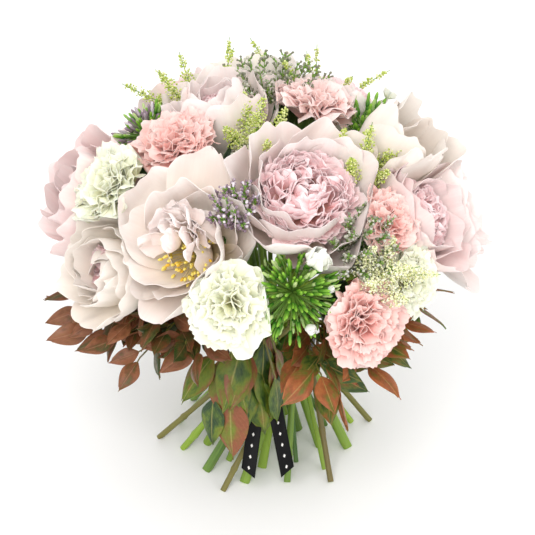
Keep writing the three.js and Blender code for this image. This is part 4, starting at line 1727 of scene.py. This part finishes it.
@dataclass
class Studio:
    """A pale floor, soft lights and a camera that looks down on the bunch from the front."""

    elevation: float = 35.0  # degrees above the horizon
    distance: float = 2.6
    field_width: float = 0.4387  # what the picture takes in, at the bunch
    aim_height: float = 0.1617
    floor_reach: float = 6.0
    floor_shade: float = 0.95
    daylight: float = 0.92

    def build(self) -> None:
        """Makes the floor, the lights and the camera."""
        scene = bpy.context.scene
        self.lay_floor()
        self.hang_light("key", (-0.4, -1.7, 1.9), 1.2, 27.0)
        self.hang_light("fill", (1.3, -1.3, 1.3), 1.6, 9.0)
        self.hang_light("back", (0.3, 1.6, 1.5), 1.6, 10.0)
        scene.world = bpy.data.worlds.new("studio")
        scene.world.use_nodes = True
        sky = scene.world.node_tree.nodes["Background"]
        sky.inputs["Color"].default_value = (1.0, 1.0, 1.0, 1.0)
        sky.inputs["Strength"].default_value = self.daylight
        scene.view_settings.view_transform = "Standard"
        scene.view_settings.exposure = 0.0
        self.place_camera()

    def lay_floor(self) -> None:
        """Makes the floor."""
        mesh = bpy.data.meshes.new("floor")
        reach = self.floor_reach
        corners = [(-reach, -reach, 0), (reach, -reach, 0), (reach, reach, 0), (-reach, reach, 0)]
        mesh.from_pydata(corners, [], [(0, 1, 2, 3)])
        mesh.materials.append(Recipe("floor_paper").finish((*[self.floor_shade] * 3, 1.0), 0.85))
        floor = bpy.data.objects.new("floor", mesh)
        bpy.context.scene.collection.objects.link(floor)

    def hang_light(self, name: str, place: tuple[float, float, float], size: float, power: float) -> None:
        """Makes one soft light, aimed at the bunch.

        Args:
            name: The light's name.
            place: Where it hangs.
            size: How wide it is.
            power: How strong it is, in watts.
        """
        light = bpy.data.lights.new(name, "AREA")
        light.size = size
        light.energy = power
        light.color = (1.0, 0.985, 0.965)
        lamp = bpy.data.objects.new(name, light)
        lamp.location = place
        way = Vector((0.0, 0.0, self.aim_height)) - Vector(place)
        lamp.rotation_euler = way.to_track_quat("-Z", "Y").to_euler()
        bpy.context.scene.collection.objects.link(lamp)

    def place_camera(self) -> None:
        """Makes the camera."""
        angle = math.radians(self.elevation)
        camera = bpy.data.cameras.new("camera")
        camera.sensor_width = 36.0
        camera.lens = camera.sensor_width * self.distance / self.field_width
        camera.clip_end = 50.0
        eye = bpy.data.objects.new("camera", camera)
        height = self.aim_height + self.distance * math.sin(angle)
        eye.location = (0.0, -self.distance * math.cos(angle), height)
        eye.rotation_euler = (math.pi / 2 - angle, 0.0, 0.0)
        bpy.context.scene.collection.objects.link(eye)
        bpy.context.scene.camera = eye


# ---------------------------------------------------------------- the bunch

CREAM, PALE, PINK = "peony_guard_cream", "peony_guard_pale", "peony_guard_pink"
PEONIES = (
    Peony("peony_front_centre", Bloom.BOWL, turn=0.3, ruffles=130, ruffle_reach=0.56, claim=1.12),
    Peony("peony_front_left", Bloom.OPEN, CREAM, 0.1, 44, 0.46, 1.0, 0.95, "peony_guard", 90,
          claim=1.25, size=1.06),
    Peony("peony_left_low", Bloom.GOBLET, PALE, 0.9, 50, 0.4, 0.7, size=0.86),
    Peony("peony_left_high", Bloom.GOBLET, PINK, 0.5, 60, 0.4, 0.75),
    Peony("peony_top_left", Bloom.GOBLET, "peony_guard", 0.2, 80, 0.48, 0.85, claim=1.25, size=1.12),
    Peony("peony_right", Bloom.BOWL, PINK, 0.7, 90, 0.46, 0.8),
    Peony("peony_right_low", Bloom.BOWL, "peony_guard", 0.4, 60, 0.4, 0.7),
    Peony("peony_right_high", Bloom.CUP, PALE, 0.6, 0),
    Peony("peony_back_right", Bloom.BOWL, "peony_guard", 0.2, 110, 0.5, 0.9),
    Peony("peony_back_left", Bloom.OPEN, PINK, 0.2, 40, 0.42, 1.0, 1.0, stamens=90),
    Peony("peony_back_top", Bloom.GOBLET, PALE, 0.8, 80, 0.48, 0.85),
)
PINK_FRILLS = ("carnation_pink", "carnation_pink_petals")
CREAM_FRILLS = ("carnation_cream", "carnation_cream_petals")
CARNATIONS = (
    Carnation("carnation_pink_top_left", *PINK_FRILLS, 6 * MM, 1.1),
    Carnation("carnation_pink_top_right", "carnation_blush", "carnation_pink_petals", 2 * MM, 1.15),
    Carnation("carnation_pink_front", *PINK_FRILLS),
    Carnation("carnation_pink_right", *PINK_FRILLS, 10 * MM),
    Carnation("carnation_pink_back", *PINK_FRILLS),
    Carnation("carnation_cream_left", *CREAM_FRILLS, 11 * MM, 1.25, 1.1),
    Carnation("carnation_cream_front", *CREAM_FRILLS),
    Carnation("carnation_cream_right", *CREAM_FRILLS),
    Carnation("carnation_cream_back", *CREAM_FRILLS),
)
WHITE_BUDS = ((0.6, 1.0, 1.5), (0.35, -1.0, 0.6), (-0.9, 0.3, 0.45), (0.7, 0.1, 0.4))
PHLOX = (
    PhloxSpray("phlox_front", 170, 1, furled=WHITE_BUDS),
    PhloxSpray("phlox_right", 100, 6),
    PhloxSpray("phlox_left", 150, 0, "sea_lavender_floret", 4),
)
SPRAYS = (
    SeaLavender("statice_front_right"),
    SeaLavender("statice_front_left", finish="sea_lavender_floret"),
    SeaLavender("statice_top", 22, 2.1),
    SeaLavender("statice_back"),
    Astilbe("astilbe_crown"),
    Astilbe("astilbe_right", 5, proud=8 * MM),
    Astilbe("astilbe_front_right", 5, 30.0, 0.7, "astilbe_bead", 10 * MM),
    Astilbe("astilbe_back_left", 5, 44.0, 0.95),
    Astilbe("astilbe_back_right", 5, 44.0, 0.95),
    LeafBranch("foliage_front_left", 17, 8, 34 * MM, -0.04, 1.34, 38.0, "leaf_red", 16.0),
    LeafBranch("foliage_front_centre", 6, 3, 50 * MM, 0.9, 0.78, 52.0),
    LeafBranch("foliage_front_right", 15, 6, 38 * MM, -0.04, 1.38, 46.0, "leaf_russet", -8.0),
    LeafBranch("foliage_right", 7, 6, 36 * MM, 0.05, 1.1),
    LeafBranch("foliage_back", 7, 6, 36 * MM, 0.1, 1.1, 62.0),
    LeafBranch("foliage_left", 8, 7, 32 * MM, 0.12, 0.75, finish="leaf_red", swing=-12.0),
)


def main() -> None:
    """Builds the studio and the bunch, piece by piece."""
    logging.basicConfig(level=logging.INFO, format="%(message)s")
    Studio().build()
    bench = Bench({recipe.name: recipe.make() for recipe in FINISHES})
    flowers = (*PEONIES, *CARNATIONS)
    for flower in flowers:
        bench.measure(flower.node, f"{flower.node}_stem", flower.claim)
    for spray in PHLOX:
        bench.measure(spray.node, spray.node)
    gaps: dict[str, list[Array]] = {flower.node: [] for flower in flowers}
    for gap in find_gaps(list(bench.heads.values())):
        nearest = min(gaps, key=lambda node: float(np.linalg.norm(bench.heads[node].middle - gap)))
        gaps[nearest].append(gap)
    log.info("%d gaps between the heads", sum(map(len, gaps.values())))
    for flower in flowers:
        flower.build(bench)
        Stem(f"{flower.node}_stem", bench.lines[flower.node], flower.joints, gaps[flower.node]).build(bench)
    for spray in (*PHLOX, *SPRAYS):
        spray.build(bench)
    Ribbon().build(bench, Twine().build(bench))


if __name__ == "__main__":
    main()
